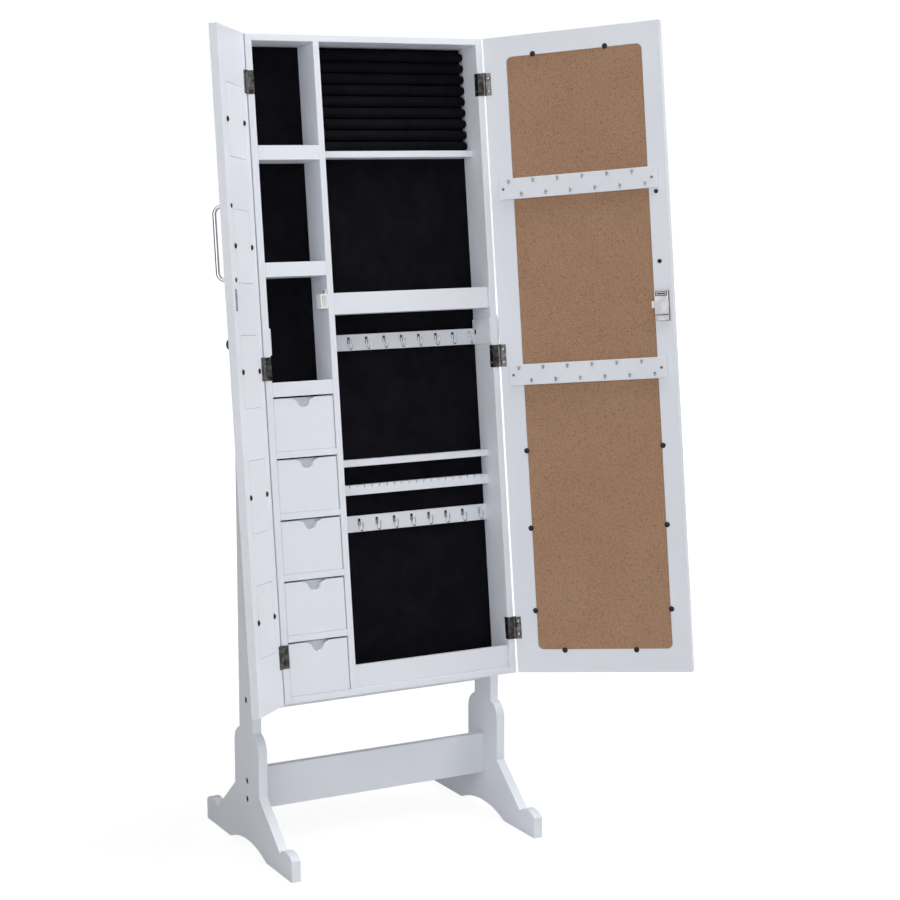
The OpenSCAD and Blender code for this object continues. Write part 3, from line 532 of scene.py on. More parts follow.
# --- mesh kit -------------------------------------------------------------------------------------
def make_object(name: str, mesh: bpy.types.Mesh) -> Piece:
    """Puts a mesh in the scene.

    Args:
        name: the object's name.
        mesh: its mesh.

    Returns:
        The object, at the origin.
    """
    made = bpy.data.objects.new(name, mesh)
    bpy.context.scene.collection.objects.link(made)
    return made


def add_modifier(piece: Piece, kind: str, **settings: object) -> bpy.types.Modifier:
    """Adds a modifier.

    Args:
        piece: the object that gets it.
        kind: Blender's name for the modifier type.
        settings: the modifier's own properties.

    Returns:
        The new modifier.
    """
    made = piece.modifiers.new(kind.lower(), kind)
    for name, value in settings.items():
        setattr(made, name, value)
    return made


def from_bmesh(name: str, shape: Shape) -> Piece:
    """Puts a finished shape in the scene.

    Args:
        name: the object's name.
        shape: the shape, which is freed.

    Returns:
        The object, at the origin.
    """
    mesh = bpy.data.meshes.new(name)
    shape.to_mesh(mesh)
    shape.free()
    return make_object(name, mesh)


def bake_modifiers(name: str, source: Piece, axes: Axes | None = None) -> Piece:
    """Turns an object with modifiers into a plain mesh object, and removes the source.

    Args:
        name: the new object's name.
        source: the object to evaluate.
        axes: the axes that the source was built in, if it isn't in the row frame.

    Returns:
        The plain object, at the origin.
    """
    bpy.context.view_layer.update()
    depsgraph = bpy.context.evaluated_depsgraph_get()
    mesh = bpy.data.meshes.new_from_object(source.evaluated_get(depsgraph), depsgraph=depsgraph)
    bpy.data.objects.remove(source)
    if axes:
        mesh.transform(axes.matrix)
    mesh.name = name
    return make_object(name, mesh)


def dress(piece: Piece, finish: Finish) -> Piece:
    """Gives every face of a piece one finish.

    Args:
        piece: the piece.
        finish: the finish.

    Returns:
        The piece.
    """
    piece.data.materials.clear()
    piece.data.materials.append(finish.material())
    piece.data.polygons.foreach_set("material_index", [0] * len(piece.data.polygons))
    return piece


def attach(piece: Piece, body: str, finish: Finish, *nodes: str) -> Piece:
    """Hands a finished piece to the frame.

    Args:
        piece: the piece, in place in the row frame.
        body: the CAD body that it moves with.
        finish: the finish that it wears.
        nodes: the CAD nodes that it stands for.

    Returns:
        The piece.
    """
    if nodes:
        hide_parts(*nodes)
    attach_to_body(piece, body)
    LOG.info("%s on %s in %s: %d faces", piece.name, body, finish.name, len(piece.data.polygons))
    return piece


def apart(first: bmesh.types.BMLoop, second: bmesh.types.BMLoop) -> float:
    """Measures the least distance between two edges that don't cross.

    Args:
        first: a loop that starts one edge.
        second: a loop that starts the other.

    Returns:
        The distance, in metres.
    """
    gaps = []
    for here, there in ((first, second), (second, first)):
        start, end = (vertex.co for vertex in there.edge.verts)
        for vertex in here.edge.verts:
            along = (vertex.co - start).dot(end - start) / (end - start).length_squared
            gaps.append((vertex.co - start.lerp(end, min(max(along, 0.0), 1.0))).length)
    return min(gaps)


def thin_walls(shape: Shape, hard: set[bmesh.types.BMEdge], reach: float) -> set[bmesh.types.BMEdge]:
    """Finds the hard edges that face another across a strip too thin for both to be rounded.

    Args:
        shape: the mesh.
        hard: its hard edges.
        reach: the least width of a strip.

    Returns:
        The shorter edge of each such pair.
    """
    planes = {}
    for face in shape.faces:
        key = (*(round(part, 2) for part in face.normal), round(face.normal.dot(face.verts[0].co), 4))
        planes.setdefault(key, []).extend(loop for loop in face.loops if loop.edge in hard)
    spared = set()
    for loops in planes.values():
        ways = [(loop.link_loop_next.vert.co - loop.vert.co).normalized() for loop in loops]
        for (i, first), (j, second) in combinations(enumerate(loops), 2):
            if ways[i].dot(ways[j]) < OPPOSED and apart(first, second) < reach:
                spared.add(min(first.edge, second.edge, key=lambda edge: edge.calc_length()))
    return spared


def merged(node: str) -> Shape:
    """Merges the triangles of a CAD node's shape into faces.

    Args:
        node: the CAD node.

    Returns:
        The shape with whole faces, and no wall between touching solids.
    """
    shape = bmesh.new()
    shape.from_mesh(frame["nodes"][node].data)
    bmesh.ops.remove_doubles(shape, verts=shape.verts, dist=MERGE)
    for _ in range(2):
        bmesh.ops.dissolve_limit(shape, angle_limit=math.radians(FLAT_ANGLE), verts=shape.verts,
                                 edges=shape.edges)
        inner = [face for face in shape.faces if all(len(edge.link_faces) > 2 for edge in face.edges)]
        bmesh.ops.delete(shape, geom=inner, context="FACES")
    for face in shape.faces:
        face.smooth = True
    return shape


def eased_copy(node: str, ease: float, steps: int = 2) -> Piece:
    """Copies a CAD node, with its triangles merged into faces and its hard edges rounded over.

    Args:
        node: the CAD node to copy.
        ease: how far in from an edge the rounding starts, in metres.
        steps: faces across each rounding.

    Returns:
        The new object, in the row frame.
    """
    shape = merged(node)
    weight = shape.edges.layers.float.new("bevel_weight_edge")
    hard = {edge for edge in shape.edges if edge.calc_face_angle(0.0) > math.radians(HARD_ANGLE)}
    spared = thin_walls(shape, hard, STRIP * ease)
    for edge in hard:
        edge[weight] = float(edge not in spared)
        edge.smooth = edge not in spared
    source = from_bmesh(node, shape)
    add_modifier(source, "BEVEL", width=ease, segments=steps, limit_method="WEIGHT", use_clamp_overlap=False,
                 loop_slide=False, face_strength_mode="FSTR_ALL")
    add_modifier(source, "WEIGHTED_NORMAL", weight=100, keep_sharp=True, use_face_influence=True)
    return bake_modifiers(node + "_eased", source)


def eased(node: str, body: str, finish: Finish, ease: float, steps: int = 2) -> Piece:
    """Builds, dresses and hands over an eased copy of a CAD node."""
    return attach(dress(eased_copy(node, ease, steps), finish), body, finish, node)


def dress_node(node: str, finish: Finish) -> None:
    """Gives a CAD node, whose own shape is shown, a finish.

    Args:
        node: the CAD node.
        finish: the finish.
    """
    shown = frame["nodes"][node]
    for slot in shown.material_slots:
        slot.material = finish.material()
    if not shown.material_slots:
        shown.data.materials.append(finish.material())
    LOG.info("%s is shown as built, in %s", node, finish.name)


def spun(profile: Sequence[tuple[float, float]], sides: int) -> Shape:
    """Turns a closed shape about +y.

    Args:
        profile: radius and height along y of each ring, from one pole to the other.
        sides: the number of sides.

    Returns:
        The shape, with its faces outwards.
    """
    shape = bmesh.new()
    rings = []
    for radius, height in profile:
        if radius == 0:
            rings.append([shape.verts.new((0, height, 0))])
            continue
        rings.append([shape.verts.new((radius * math.cos(a), height, radius * math.sin(a)))
                      for a in (2 * math.pi * k / sides for k in range(sides))])
    for low, high in zip(rings, rings[1:]):
        for k in range(sides):
            here, there = ([ring[(k + step) % len(ring)] for step in (0, 1)] for ring in (low, high))
            shape.faces.new(list(dict.fromkeys([*here, *reversed(there)])))
    bmesh.ops.recalc_face_normals(shape, faces=shape.faces)
    return shape


# --- what repeats ---------------------------------------------------------------------------------
def grow(name: str, kit: Nodes, axes: Axes, values: dict[str, object]) -> Piece:
    """Runs a Geometry Nodes tree once, keeps the mesh that it gives and removes the objects that it used.

    Args:
        name: the new piece's name.
        kit: the tree's nodes.
        axes: the axes that the tree works in.
        values: a value for each named input.

    Returns:
        The piece as a plain mesh in the row frame.
    """
    carrier = make_object("carrier", bpy.data.meshes.new("carrier"))
    modifier = add_modifier(carrier, "NODES", node_group=kit.tree)
    known = {s.name: s.identifier for s in kit.tree.interface.items_tree
             if s.item_type == "SOCKET" and s.in_out == "INPUT"}
    for label, value in values.items():
        modifier[known[label]] = value
    made = bake_modifiers(name, carrier, axes)
    for used in (value for value in values.values() if isinstance(value, Piece)):
        bpy.data.objects.remove(used)
    return made


def seats(points: Iterable[Vector]) -> Piece:
    """Keeps points for a tree to set copies on.

    Args:
        points: where the copies go.

    Returns:
        A hidden object with a vertex at each point.
    """
    mesh = bpy.data.meshes.new("seats")
    mesh.from_pydata([tuple(p) for p in points], [], [])
    made = make_object("seats", mesh)
    made.hide_render = True
    return made


def finish_tree(kit: Nodes, finish: Socket, unit: Socket, points: Socket, smooth: bool = True,
                **more: Socket) -> None:
    """Ends a tree: copies of a unit, made real and shaded smooth below a sharp angle, in one finish.

    Args:
        kit: the tree's nodes.
        finish: the finish's material.
        unit: the geometry to copy.
        points: where the copies go.
        smooth: whether to set the shading.
        more: further inputs of the node that sets the copies out.
    """
    placed = kit.out("GeometryNodeInstanceOnPoints", {"Points": points, "Instance": unit, **more})
    real = kit.out("GeometryNodeRealizeInstances", {"Geometry": placed})
    if smooth:
        soft = kit.out("FunctionNodeCompare", {0: kit.out("GeometryNodeInputMeshEdgeAngle"),
                                               1: math.radians(SOFT_ANGLE)},
                       data_type="FLOAT", operation="LESS_THAN")
        for domain, chosen in (("EDGE", soft), ("FACE", True)):
            real = kit.out("GeometryNodeSetShadeSmooth", {"Geometry": real, "Shade Smooth": chosen},
                           domain=domain)
    dressed = kit.out("GeometryNodeSetMaterial", {"Geometry": real, "Material": finish})
    kit.add("NodeGroupOutput", {"Geometry": dressed})


def copies_tree(name: str) -> Nodes:
    """Builds a tree that sets copies of one unit on seats, each turned at random about y.

    Args:
        name: the tree's name.

    Returns:
        The tree's nodes.
    """
    kit = new_group(name, "GeometryNodeTree",
                    [("Seats", "Object"), ("Unit", "Object"), ("Largest Turn", "Float", math.pi),
                     ("Seed", "Int", 1), ("Finish", "Material")],
                    [("Geometry", "Geometry")])
    given = kit.add("NodeGroupInput").outputs
    points, unit = (kit.add("GeometryNodeObjectInfo", {"Object": given[label]}).outputs["Geometry"]
                    for label in ("Seats", "Unit"))
    turn = kit.add("FunctionNodeRandomValue", {"Min": 0.0, "Max": given["Largest Turn"],
                                               "Seed": given["Seed"]}, data_type="FLOAT")
    spin = kit.out("ShaderNodeCombineXYZ", {1: next(o for o in turn.outputs if o.enabled)})
    finish_tree(kit, given["Finish"], unit, points, Rotation=spin)
    return kit


def hooks_tree() -> Nodes:
    """Builds a tree that bends a wire hook from its sizes, gives it a plate and a ball tip, and repeats it.

    The wire runs down its stem, round a half circle towards the user, and up again.

    Returns:
        The tree's nodes.
    """
    sizes = ("Stem", "Throat", "Rise", "Wire", "Ball", "Plate Width", "Plate Height", "Plate Thickness")
    kit = new_group("Wire Hooks", "GeometryNodeTree",
                    [("Seats", "Object"), *((s, "Float", 0.005) for s in sizes),
                     ("Towards User", "Float", -1.0), ("Finish", "Material")],
                    [("Geometry", "Geometry")])
    given = kit.add("NodeGroupInput").outputs
    stem, throat, rise, wire, ball, plate_w, plate_h, plate_t, facing = (
        given[s] for s in (*sizes, "Towards User"))
    line = kit.out("GeometryNodeCurvePrimitiveLine")
    line = kit.out("GeometryNodeResampleCurve", {"Curve": line, "Count": WIRE_STEPS})
    half_turn = kit.math("MULTIPLY", throat, math.pi)
    total = kit.math("ADD", kit.math("ADD", stem, half_turn), rise)
    along = kit.math("MULTIPLY", kit.out("GeometryNodeSplineParameter"), total)
    down = kit.math("MINIMUM", along, stem)
    past = kit.math("MAXIMUM", kit.math("SUBTRACT", along, stem), 0.0)
    bend = kit.math("DIVIDE", kit.math("MINIMUM", past, half_turn), throat)
    up = kit.math("MAXIMUM", kit.math("SUBTRACT", past, half_turn), 0.0)
    reach = kit.math("MULTIPLY", throat, kit.math("SUBTRACT", 1.0, kit.math("COSINE", bend)))
    stand_off = kit.math("ADD", plate_t, kit.math("MULTIPLY", wire, 0.5))
    y = kit.math("MULTIPLY", kit.math("ADD", stand_off, reach), facing)
    z = kit.math("SUBTRACT", up, kit.math("ADD", down, kit.math("MULTIPLY", throat, kit.math("SINE", bend))))
    top = kit.math("MULTIPLY", plate_h, 0.4)
    place = kit.out("ShaderNodeCombineXYZ", {1: y, 2: kit.math("SUBTRACT", z, top)})
    path = kit.out("GeometryNodeSetPosition", {"Geometry": line, "Position": place})
    ring = kit.out("GeometryNodeCurvePrimitiveCircle", {"Resolution": WIRE_SIDES, "Radius": wire})
    rod = kit.out("GeometryNodeCurveToMesh", {"Curve": path, "Profile Curve": ring, "Fill Caps": True})
    tip_y = kit.math("MULTIPLY", kit.math("ADD", stand_off, kit.math("MULTIPLY", throat, 2.0)), facing)
    tip_z = kit.math("SUBTRACT", kit.math("SUBTRACT", rise, stem), top)
    bead = kit.out("GeometryNodeMeshUVSphere", {"Segments": 14, "Rings": 9, "Radius": ball})
    tip = kit.out("ShaderNodeCombineXYZ", {1: tip_y, 2: tip_z})
    bead = kit.out("GeometryNodeTransform", {"Geometry": bead, "Translation": tip})
    outline = kit.out("GeometryNodeCurvePrimitiveQuadrilateral", {"Width": plate_w, "Height": plate_h})
    corner = kit.math("MULTIPLY", plate_w, 0.25)
    outline = kit.out("GeometryNodeFilletCurve", {"Curve": outline, "Radius": corner, "Count": 4},
                      mode="POLY")
    sheet = kit.out("GeometryNodeFillCurve", {"Curve": outline}, mode="NGONS")
    solid = kit.out("GeometryNodeExtrudeMesh", {"Mesh": sheet, "Offset Scale": plate_t, "Individual": False})
    back = kit.out("GeometryNodeFlipFaces", {"Mesh": sheet})
    plate = kit.out("GeometryNodeMergeByDistance", {"Geometry": kit.join(solid, back), "Distance": MERGE / 2})
    turn = kit.out("ShaderNodeCombineXYZ", {0: kit.math("MULTIPLY", facing, -math.pi / 2)})
    drop = kit.out("ShaderNodeCombineXYZ", {2: kit.math("MULTIPLY", plate_h, -0.5)})
    plate = kit.out("GeometryNodeTransform", {"Geometry": plate, "Rotation": turn, "Translation": drop})
    points = kit.add("GeometryNodeObjectInfo", {"Object": given["Seats"]}).outputs["Geometry"]
    finish_tree(kit, given["Finish"], kit.join(rod, bead, plate), points)
    return kit


def rolls_tree() -> Nodes:
    """Builds a tree that stacks round rolls with closed, slightly drawn-in ends, one above another.

    Returns:
        The tree's nodes.
    """
    kit = new_group("Stacked Rolls", "GeometryNodeTree",
                    [("Count", "Int"), ("Length", "Float"), ("Radius", "Float"), ("Pitch", "Float"),
                     ("First", "Vector"), ("End Draw", "Float"), ("Finish", "Material")],
                    [("Geometry", "Geometry")])
    given = kit.add("NodeGroupInput").outputs
    length, radius = given["Length"], given["Radius"]
    tube = kit.out("GeometryNodeMeshCylinder", {"Vertices": ROLL_SIDES, "Side Segments": ROLL_STEPS,
                                                "Fill Segments": 3, "Radius": 1.0, "Depth": 1.0})
    spot = kit.add("ShaderNodeSeparateXYZ", {0: kit.out("GeometryNodeInputPosition")})
    from_end = kit.math("MULTIPLY", kit.math("SUBTRACT", 0.5, kit.math("ABSOLUTE", spot.outputs[2])), length)
    drawn = kit.math("MINIMUM", kit.math("DIVIDE", from_end, radius), 1.0)
    rest = kit.math("SUBTRACT", 1.0, drawn)
    fall = kit.math("MULTIPLY", kit.math("MULTIPLY", rest, rest), given["End Draw"])
    width = kit.math("MULTIPLY", kit.math("SUBTRACT", 1.0, fall), radius)
    shaped = kit.out("ShaderNodeCombineXYZ", {
        k: kit.math("MULTIPLY", spot.outputs[way], size)
        for k, (way, size) in enumerate(((2, length), (0, width), (1, width)))})
    roll = kit.out("GeometryNodeSetPosition", {"Geometry": tube, "Position": shaped})
    step = kit.out("ShaderNodeCombineXYZ", {2: given["Pitch"]})
    line = kit.out("GeometryNodeMeshLine", {"Count": given["Count"], "Offset": step,
                                            "Start Location": given["First"]})
    finish_tree(kit, given["Finish"], roll, line, smooth=False)
    return kit


@dataclass
class ScrewShape:
    """A turned screw along y with its head towards +y: the seat is where the head meets its board.

    Args:
        head_r: radius of the head.
        head_h: height of the head.
        shank_r: radius of the shank.
        shank_l: length of the shank.
        washer_r: radius of the washer under the head, or 0.
        washer_t: thickness of that washer.
        rim: share of the head's height where its dome starts.
        wall: share of the head's height that stands straight.
        lip: share of the washer's thickness that its edge is cut off by.
        slot: length and width of each cut of the cross, as shares of the head's radius.
        taper: width of the cross at its foot, as a share of its width at the top.
    """

    head_r: float
    head_h: float
    shank_r: float
    shank_l: float
    washer_r: float = 0.0
    washer_t: float = 0.0
    rim: float = 0.35
    wall: float = 0.3
    lip: float = 0.4
    slot: tuple[float, float] = (1.15, 0.26)
    taper: float = 0.45

    def profile(self) -> list[tuple[float, float]]:
        """Sets out the screw's rings.

        Returns:
            Radius and height of each ring, from the tip of the shank to the crown of the head.
        """
        base = self.washer_t
        dome = [(self.head_r * math.cos(a), base + self.head_h * (self.rim + (1 - self.rim) * math.sin(a)))
                for a in (math.radians(d) for d in (12, 30, 50, 70))]
        lip = self.washer_t * self.lip
        washer = [(self.head_r * 0.97, 0.0)]
        if self.washer_r:
            washer = [(self.washer_r - lip, 0.0), (self.washer_r, lip), (self.washer_r - lip, base)]
        return [(0, -self.shank_l), (self.shank_r, 2 * self.shank_r - self.shank_l), (self.shank_r, 0.0),
                *washer, (self.head_r, base), (self.head_r, base + self.head_h * self.wall), *dome,
                (0, base + self.head_h)]

    def recess(self) -> Piece:
        """Builds what is cut out of the head.

        Returns:
            Two crossed wedges, as one object.
        """
        shape = bmesh.new()
        top = self.washer_t + self.head_h
        for wide, deep in (self.slot, self.slot[::-1]):
            for vertex in bmesh.ops.create_cube(shape, size=1.0)["verts"]:
                narrow = self.head_r * (1.0 if vertex.co.y > 0 else self.taper)
                vertex.co = Vector((vertex.co.x * wide * narrow, top + vertex.co.y * self.head_h * 1.1,
                                    vertex.co.z * deep * narrow))
        return from_bmesh("recess", shape)

    def build(self) -> Piece:
        """Builds the screw with its cross recess.

        Returns:
            A hidden object that a tree can repeat.
        """
        screw, recess = from_bmesh("screw", spun(self.profile(), SCREW_SIDES)), self.recess()
        add_modifier(screw, "BOOLEAN", operation="DIFFERENCE", solver="EXACT", object=recess, use_self=True)
        screw = bake_modifiers("screw_unit", screw)
        bpy.data.objects.remove(recess)
        screw.hide_render = True
        return screw


@dataclass
class SeatedScrews:
    """A set of like screws, found among the solids of a CAD node and set out by Geometry Nodes.

    Args:
        name: the new piece's name.
        shape: the screw's shape, with its head towards +y.
        finish: the screws' finish.
        axes: the axes that the screws are square to.
        facing: 1 where the heads face +y in those axes and -1 where they face -y.
        seed: seed of the heads' random turns.
    """

    name: str
    shape: ScrewShape
    finish: Finish
    axes: Axes
    facing: int = 1
    seed: int = 3

    def build(self, boxes: Sequence[Box]) -> Piece:
        """Sets a screw in each box.

        Args:
            boxes: the lowest and highest corner of each screw's solid, in the axes.

        Returns:
            All the screws as one plain mesh.
        """
        proud = self.shape.washer_t + self.shape.head_h
        places = []
        for low, high in boxes:
            middle = (low + high) / 2
            crown = high.y if self.facing > 0 else low.y
            places.append(Vector((middle.x, crown - self.facing * proud, middle.z)))
        unit = self.shape.build()
        if self.facing < 0:
            unit.data.transform(Matrix.Rotation(math.pi, 4, "Z"))
        return grow(self.name, copies_tree(self.name + "_copies"), self.axes, {
            "Seats": seats(places), "Unit": unit, "Largest Turn": math.pi, "Seed": self.seed,
            "Finish": self.finish.material()})


@dataclass
class HookRow:
    """Wire hooks on small plates, set out by Geometry Nodes where the CAD has them.

    Args:
        name: the new piece's name.
        node: the CAD node that holds the hooks.
        axes: the axes that the hooks are square to.
        facing: 1 where they reach towards +y in those axes and -1 towards -y.
        plate_w: width of a plate; plate_h and plate_t are its height and thickness.
        wire: radius of the wire.
        throat: radius of the bend.
        rise: how far the tip rises from the bend.
        stem: how far the wire falls from the plate to the bend.
        finish: the hooks' finish.
    """

    name: str
    node: str
    axes: Axes
    facing: int
    plate_w: float
    plate_h: float
    plate_t: float
    wire: float
    throat: float
    rise: float
    stem: float
    finish: Finish = CHROME

    def build(self) -> Piece:
        """Sets a hook where each of the CAD's is.

        Returns:
            All the hooks as one plain mesh in the row frame.
        """
        places = []
        for low, high in self.axes.solids(self.node):
            back = high.y if self.facing < 0 else low.y
            places.append(Vector(((low.x + high.x) / 2, back, high.z)))
        return grow(self.name, hooks_tree(), self.axes, {
            "Seats": seats(places), "Stem": self.stem, "Throat": self.throat, "Rise": self.rise,
            "Wire": self.wire, "Ball": self.wire * 1.4, "Plate Width": self.plate_w,
            "Plate Height": self.plate_h, "Plate Thickness": self.plate_t,
            "Towards User": float(self.facing), "Finish": self.finish.material()})


# --- stand ----------------------------------------------------------------------------------------
@dataclass
class Stand:
    """The two uprights with their feet, the rails between them, the bolts and the tilt knobs.

    Args:
        ease: rounding along the boards' edges, in metres.
        knob_ease: rounding along the knobs' edges.
    """

    ease: float = 1.2 * MM
    knob_ease: float = 0.5 * MM
    body: str = "stand"

    def build(self) -> None:
        """Builds and dresses every piece of the stand."""
        for node in ("left_upright", "right_upright", "crossbar", "stop_rail"):
            eased(node, self.body, LACQUER, self.ease, 3)
        eased("stand_bolts", self.body, BLACK_STEEL_AND_GROOVE_SHADE, PANEL_EASE)
        eased("pivot_washers", self.body, WHITE_PLASTIC, SMALL_EASE)
        for side in ("left", "right"):
            eased(f"{side}_tilt_knob", f"{side}_knob", DARK_PLASTIC, self.knob_ease)


# --- case -----------------------------------------------------------------------------------------
@dataclass
class Case:
    """The leaning case: its boards, shelves and strips, the velvet, and its small metal parts.

    Args:
        ease: rounding along the boards' edges, in metres.
        velvet_step: size of the velvet's mesh, in metres.
        velvet_lift: how far the pasted velvet rises and falls.
        velvet_rim: width of the rim that is pressed flat.
        near_side: how far from the middle a screw is counted as one of a side's, in metres.
    """

    ease: float = 0.8 * MM
    velvet_step: float = 7 * MM
    velvet_lift: float = 0.35 * MM
    velvet_rim: float = 10 * MM
    near_side: float = 0.2
    body: str = "case"
    axes: Axes = field(default_factory=Axes.case)

    def boards(self) -> None:
        """The lacquered boards with their edges eased."""
        for node in ("left_side", "right_side", "top_panel", "bottom_panel", "divider", "back_panel",
                     "cubby_shelves", "drawer_rails", "ring_shelf", "bottle_shelf", "bottle_shelf_lip",
                     "upper_earring_strip", "lower_earring_strip", "earring_ledge", "bottom_tray_lip",
                     "pivot_plates"):
            eased(node, self.body, LACQUER, self.ease)
        eased("slotted_bar", self.body, LACQUER, SMALL_EASE)
        eased("magnetic_catch", self.body, WHITE_PLASTIC, SMALL_EASE)

    def velvet(self) -> None:
        """The velvet pasted over the back, as one thin cloth in each column."""
        for name, (low, high) in zip(("bay_velvet", "column_velvet"),
                                     sorted(self.axes.solids("velvet_lining"), key=lambda b: -b[1].x)):
            piece = self.cloth(name, low, high)
            if name == "bay_velvet":
                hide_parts("velvet_lining")
            attach(dress(piece, VELVET), self.body, VELVET)

    def cloth(self, name: str, low: Vector, high: Vector) -> Piece:
        """A closed thin cloth that fills a flat box, with a slightly uneven face.

        Args:
            name: the piece's name.
            low: the box's lowest corner in the case's axes.
            high: its highest corner.

        Returns:
            The cloth in the row frame.
        """
        across = max(2, round((high.x - low.x) / self.velvet_step))
        up = max(2, round((high.z - low.z) / self.velvet_step))
        shape = bmesh.new()
        bmesh.ops.create_grid(shape, x_segments=across, y_segments=up, size=0.5)
        for vertex in shape.verts:
            x = low.x + (vertex.co.x + 0.5) * (high.x - low.x)
            z = low.z + (vertex.co.y + 0.5) * (high.z - low.z)
            rim = min(x - low.x, high.x - x, z - low.z, high.z - z)
            swell = noise.noise(Vector((x * 9, 3.1, z * 7))) * 0.5
            swell += noise.noise(Vector((x * 40, 8.7, z * 40))) * 0.2
            depth = self.velvet_lift * (0.6 + swell) * min(1.0, rim / self.velvet_rim)
            vertex.co = Vector((x, low.y + depth, z))
        walls = bmesh.ops.extrude_face_region(shape, geom=shape.faces[:])["geom"]
        for vertex in (g for g in walls if isinstance(g, bmesh.types.BMVert)):
            vertex.co.y = high.y
        bmesh.ops.recalc_face_normals(shape, faces=shape.faces)
        for face in shape.faces:
            face.smooth = True
        piece = from_bmesh(name, shape)
        piece.data.transform(self.axes.matrix)
        return piece

    def hooks(self) -> None:
        """The earring hooks of both strips."""
        row = HookRow("earring_hook_rows", "earring_hooks", self.axes, -1, plate_w=5 * MM, plate_h=13 * MM,
                      plate_t=1.2 * MM, wire=1.1 * MM, throat=7.5 * MM, rise=8 * MM, stem=9.75 * MM)
        attach(row.build(), self.body, CHROME, "earring_hooks")

    def hardware(self) -> None:
        """Hinge leaves, pins and screws."""
        eased("case_hinge_leaves", self.body, NICKEL, LEAF_EASE)
        eased("hinge_pins", self.body, BRIGHT_NICKEL, METAL_EASE)
        across = self.axes.turned(90)
        sides: dict[str, list[Box]] = {"left_leaf_screws": [], "right_leaf_screws": [], "catch_screw": []}
        for low, high in across.solids("case_screws"):
            middle = (low.y + high.y) / 2
            name = "catch_screw" if abs(middle) <= self.near_side else (
                "left_leaf_screws" if middle > 0 else "right_leaf_screws")
            sides[name].append((low, high))
        flat = ScrewShape(2.6 * MM, 1.0 * MM, 1.3 * MM, 8.8 * MM)
        pan = ScrewShape(3 * MM, 1.6 * MM, 1.4 * MM, 10 * MM)
        for seed, (name, found) in enumerate(sides.items()):
            shape = pan if name == "catch_screw" else flat
            facing = -1 if name == "left_leaf_screws" else 1
            piece = SeatedScrews("case_" + name, shape, BRIGHT_NICKEL, across, facing, seed).build(found)
            attach(piece, self.body, BRIGHT_NICKEL, *(["case_screws"] if seed == 0 else []))

    def build(self) -> None:
        """Builds and dresses every piece of the case."""
        self.boards()
        self.velvet()
        RingRolls(self.axes).build()
        self.hooks()
        self.hardware()


@dataclass
class RingRolls:
    """The foam-filled velvet rolls that hold rings, stacked above the ring shelf.

    Args:
        axes: the case's axes.
        slack: how much smaller than its space each roll starts, in metres.
        gather: depth of the gathers that the velvet starts with.
        pressure: what the foam pushes the velvet out with.
        steps: how many steps the velvet settles for.
        swell: the furthest that a point may move, in metres.
        gap: how far inside its space each roll is kept.
    """

    axes: Axes
    slack: float = 1.1 * MM
    gather: float = 0.35 * MM
    pressure: float = 3.0
    steps: int = 14
    swell: float = 0.9 * MM
    gap: float = 0.05 * MM
    body: str = "case"

    def build(self) -> None:
        """Builds the rolls, lets the velvet settle on the foam and hands them over."""
        boxes = sorted(self.axes.solids("ring_rolls"), key=lambda b: b[0].z)
        low, high = boxes[0]
        rolls = grow("ring_rolls_velvet", rolls_tree(), self.axes, {
            "Count": len(boxes), "Length": high.x - low.x, "Radius": (high.z - low.z) / 2 - self.slack,
            "Pitch": boxes[1][0].z - low.z, "First": tuple((low + high) / 2), "End Draw": 0.3,
            "Finish": VELVET.material()})
        self.pucker(rolls)
        self.settle(rolls)
        add_modifier(rolls, "SUBSURF", levels=1, render_levels=1)
        rolls = bake_modifiers("ring_roll_stack", rolls)
        for face in rolls.data.polygons:
            face.use_smooth = True
        self.hold(rolls, boxes)
        attach(dress(rolls, VELVET), self.body, VELVET, "ring_rolls")

    def pucker(self, rolls: Piece) -> None:
        """Starts the velvet with faint gathers, so that it settles into them.

        Args:
            rolls: the rolls.
        """
        inverse = self.axes.inverse
        for vertex, normal in zip(rolls.data.vertices, [v.normal.copy() for v in rolls.data.vertices]):
            spot = inverse @ vertex.co
            dent = noise.noise(Vector((spot.x * 55, spot.y * 210, spot.z * 210)))
            vertex.co += normal * dent * self.gather

    def settle(self, rolls: Piece) -> None:
        """Runs the cloth simulation and keeps its result, with each point held near its start.

        Args:
            rolls: the rolls.
        """
        before = [v.co.copy() for v in rolls.data.vertices]
        cloth = add_modifier(rolls, "CLOTH")
        for name, value in (("use_pressure", True), ("uniform_pressure_force", self.pressure), ("quality", 5),
                            ("mass", 0.2)):
            setattr(cloth.settings, name, value)
        cloth.settings.effector_weights.gravity = 0.0
        scene = bpy.context.scene
        for step in range(1, self.steps + 1):
            scene.frame_set(step)
        depsgraph = bpy.context.evaluated_depsgraph_get()
        settled = rolls.evaluated_get(depsgraph).to_mesh()
        after = [v.co.copy() for v in settled.vertices]
        rolls.evaluated_get(depsgraph).to_mesh_clear()
        rolls.modifiers.remove(cloth)
        scene.frame_set(1)
        for vertex, start, end in zip(rolls.data.vertices, before, after):
            move = end - start
            if move.length > self.swell:
                move *= self.swell / move.length
            vertex.co = start + move

    def hold(self, rolls: Piece, boxes: Sequence[Box]) -> None:
        """Keeps every point of each roll inside the space of its own CAD solid.

        Args:
            rolls: the rolls.
            boxes: the lowest and highest corner of each roll's solid, from the lowest one up.
        """
        inverse = self.axes.inverse
        pitch = boxes[1][0].z - boxes[0][0].z
        for vertex in rolls.data.vertices:
            spot = inverse @ vertex.co
            index = min(len(boxes) - 1, max(0, int((spot.z - boxes[0][0].z) // pitch)))
            low, high = boxes[index]
            centre = (low + high) / 2
            radius = (high.z - low.z) / 2 - self.gap
            out = Vector((0, spot.y - centre.y, spot.z - centre.z))
            if out.length > radius:
                out *= radius / out.length
            x = min(max(spot.x, low.x), high.x)
            vertex.co = self.axes.matrix @ (out + Vector((x, centre.y, centre.z)))


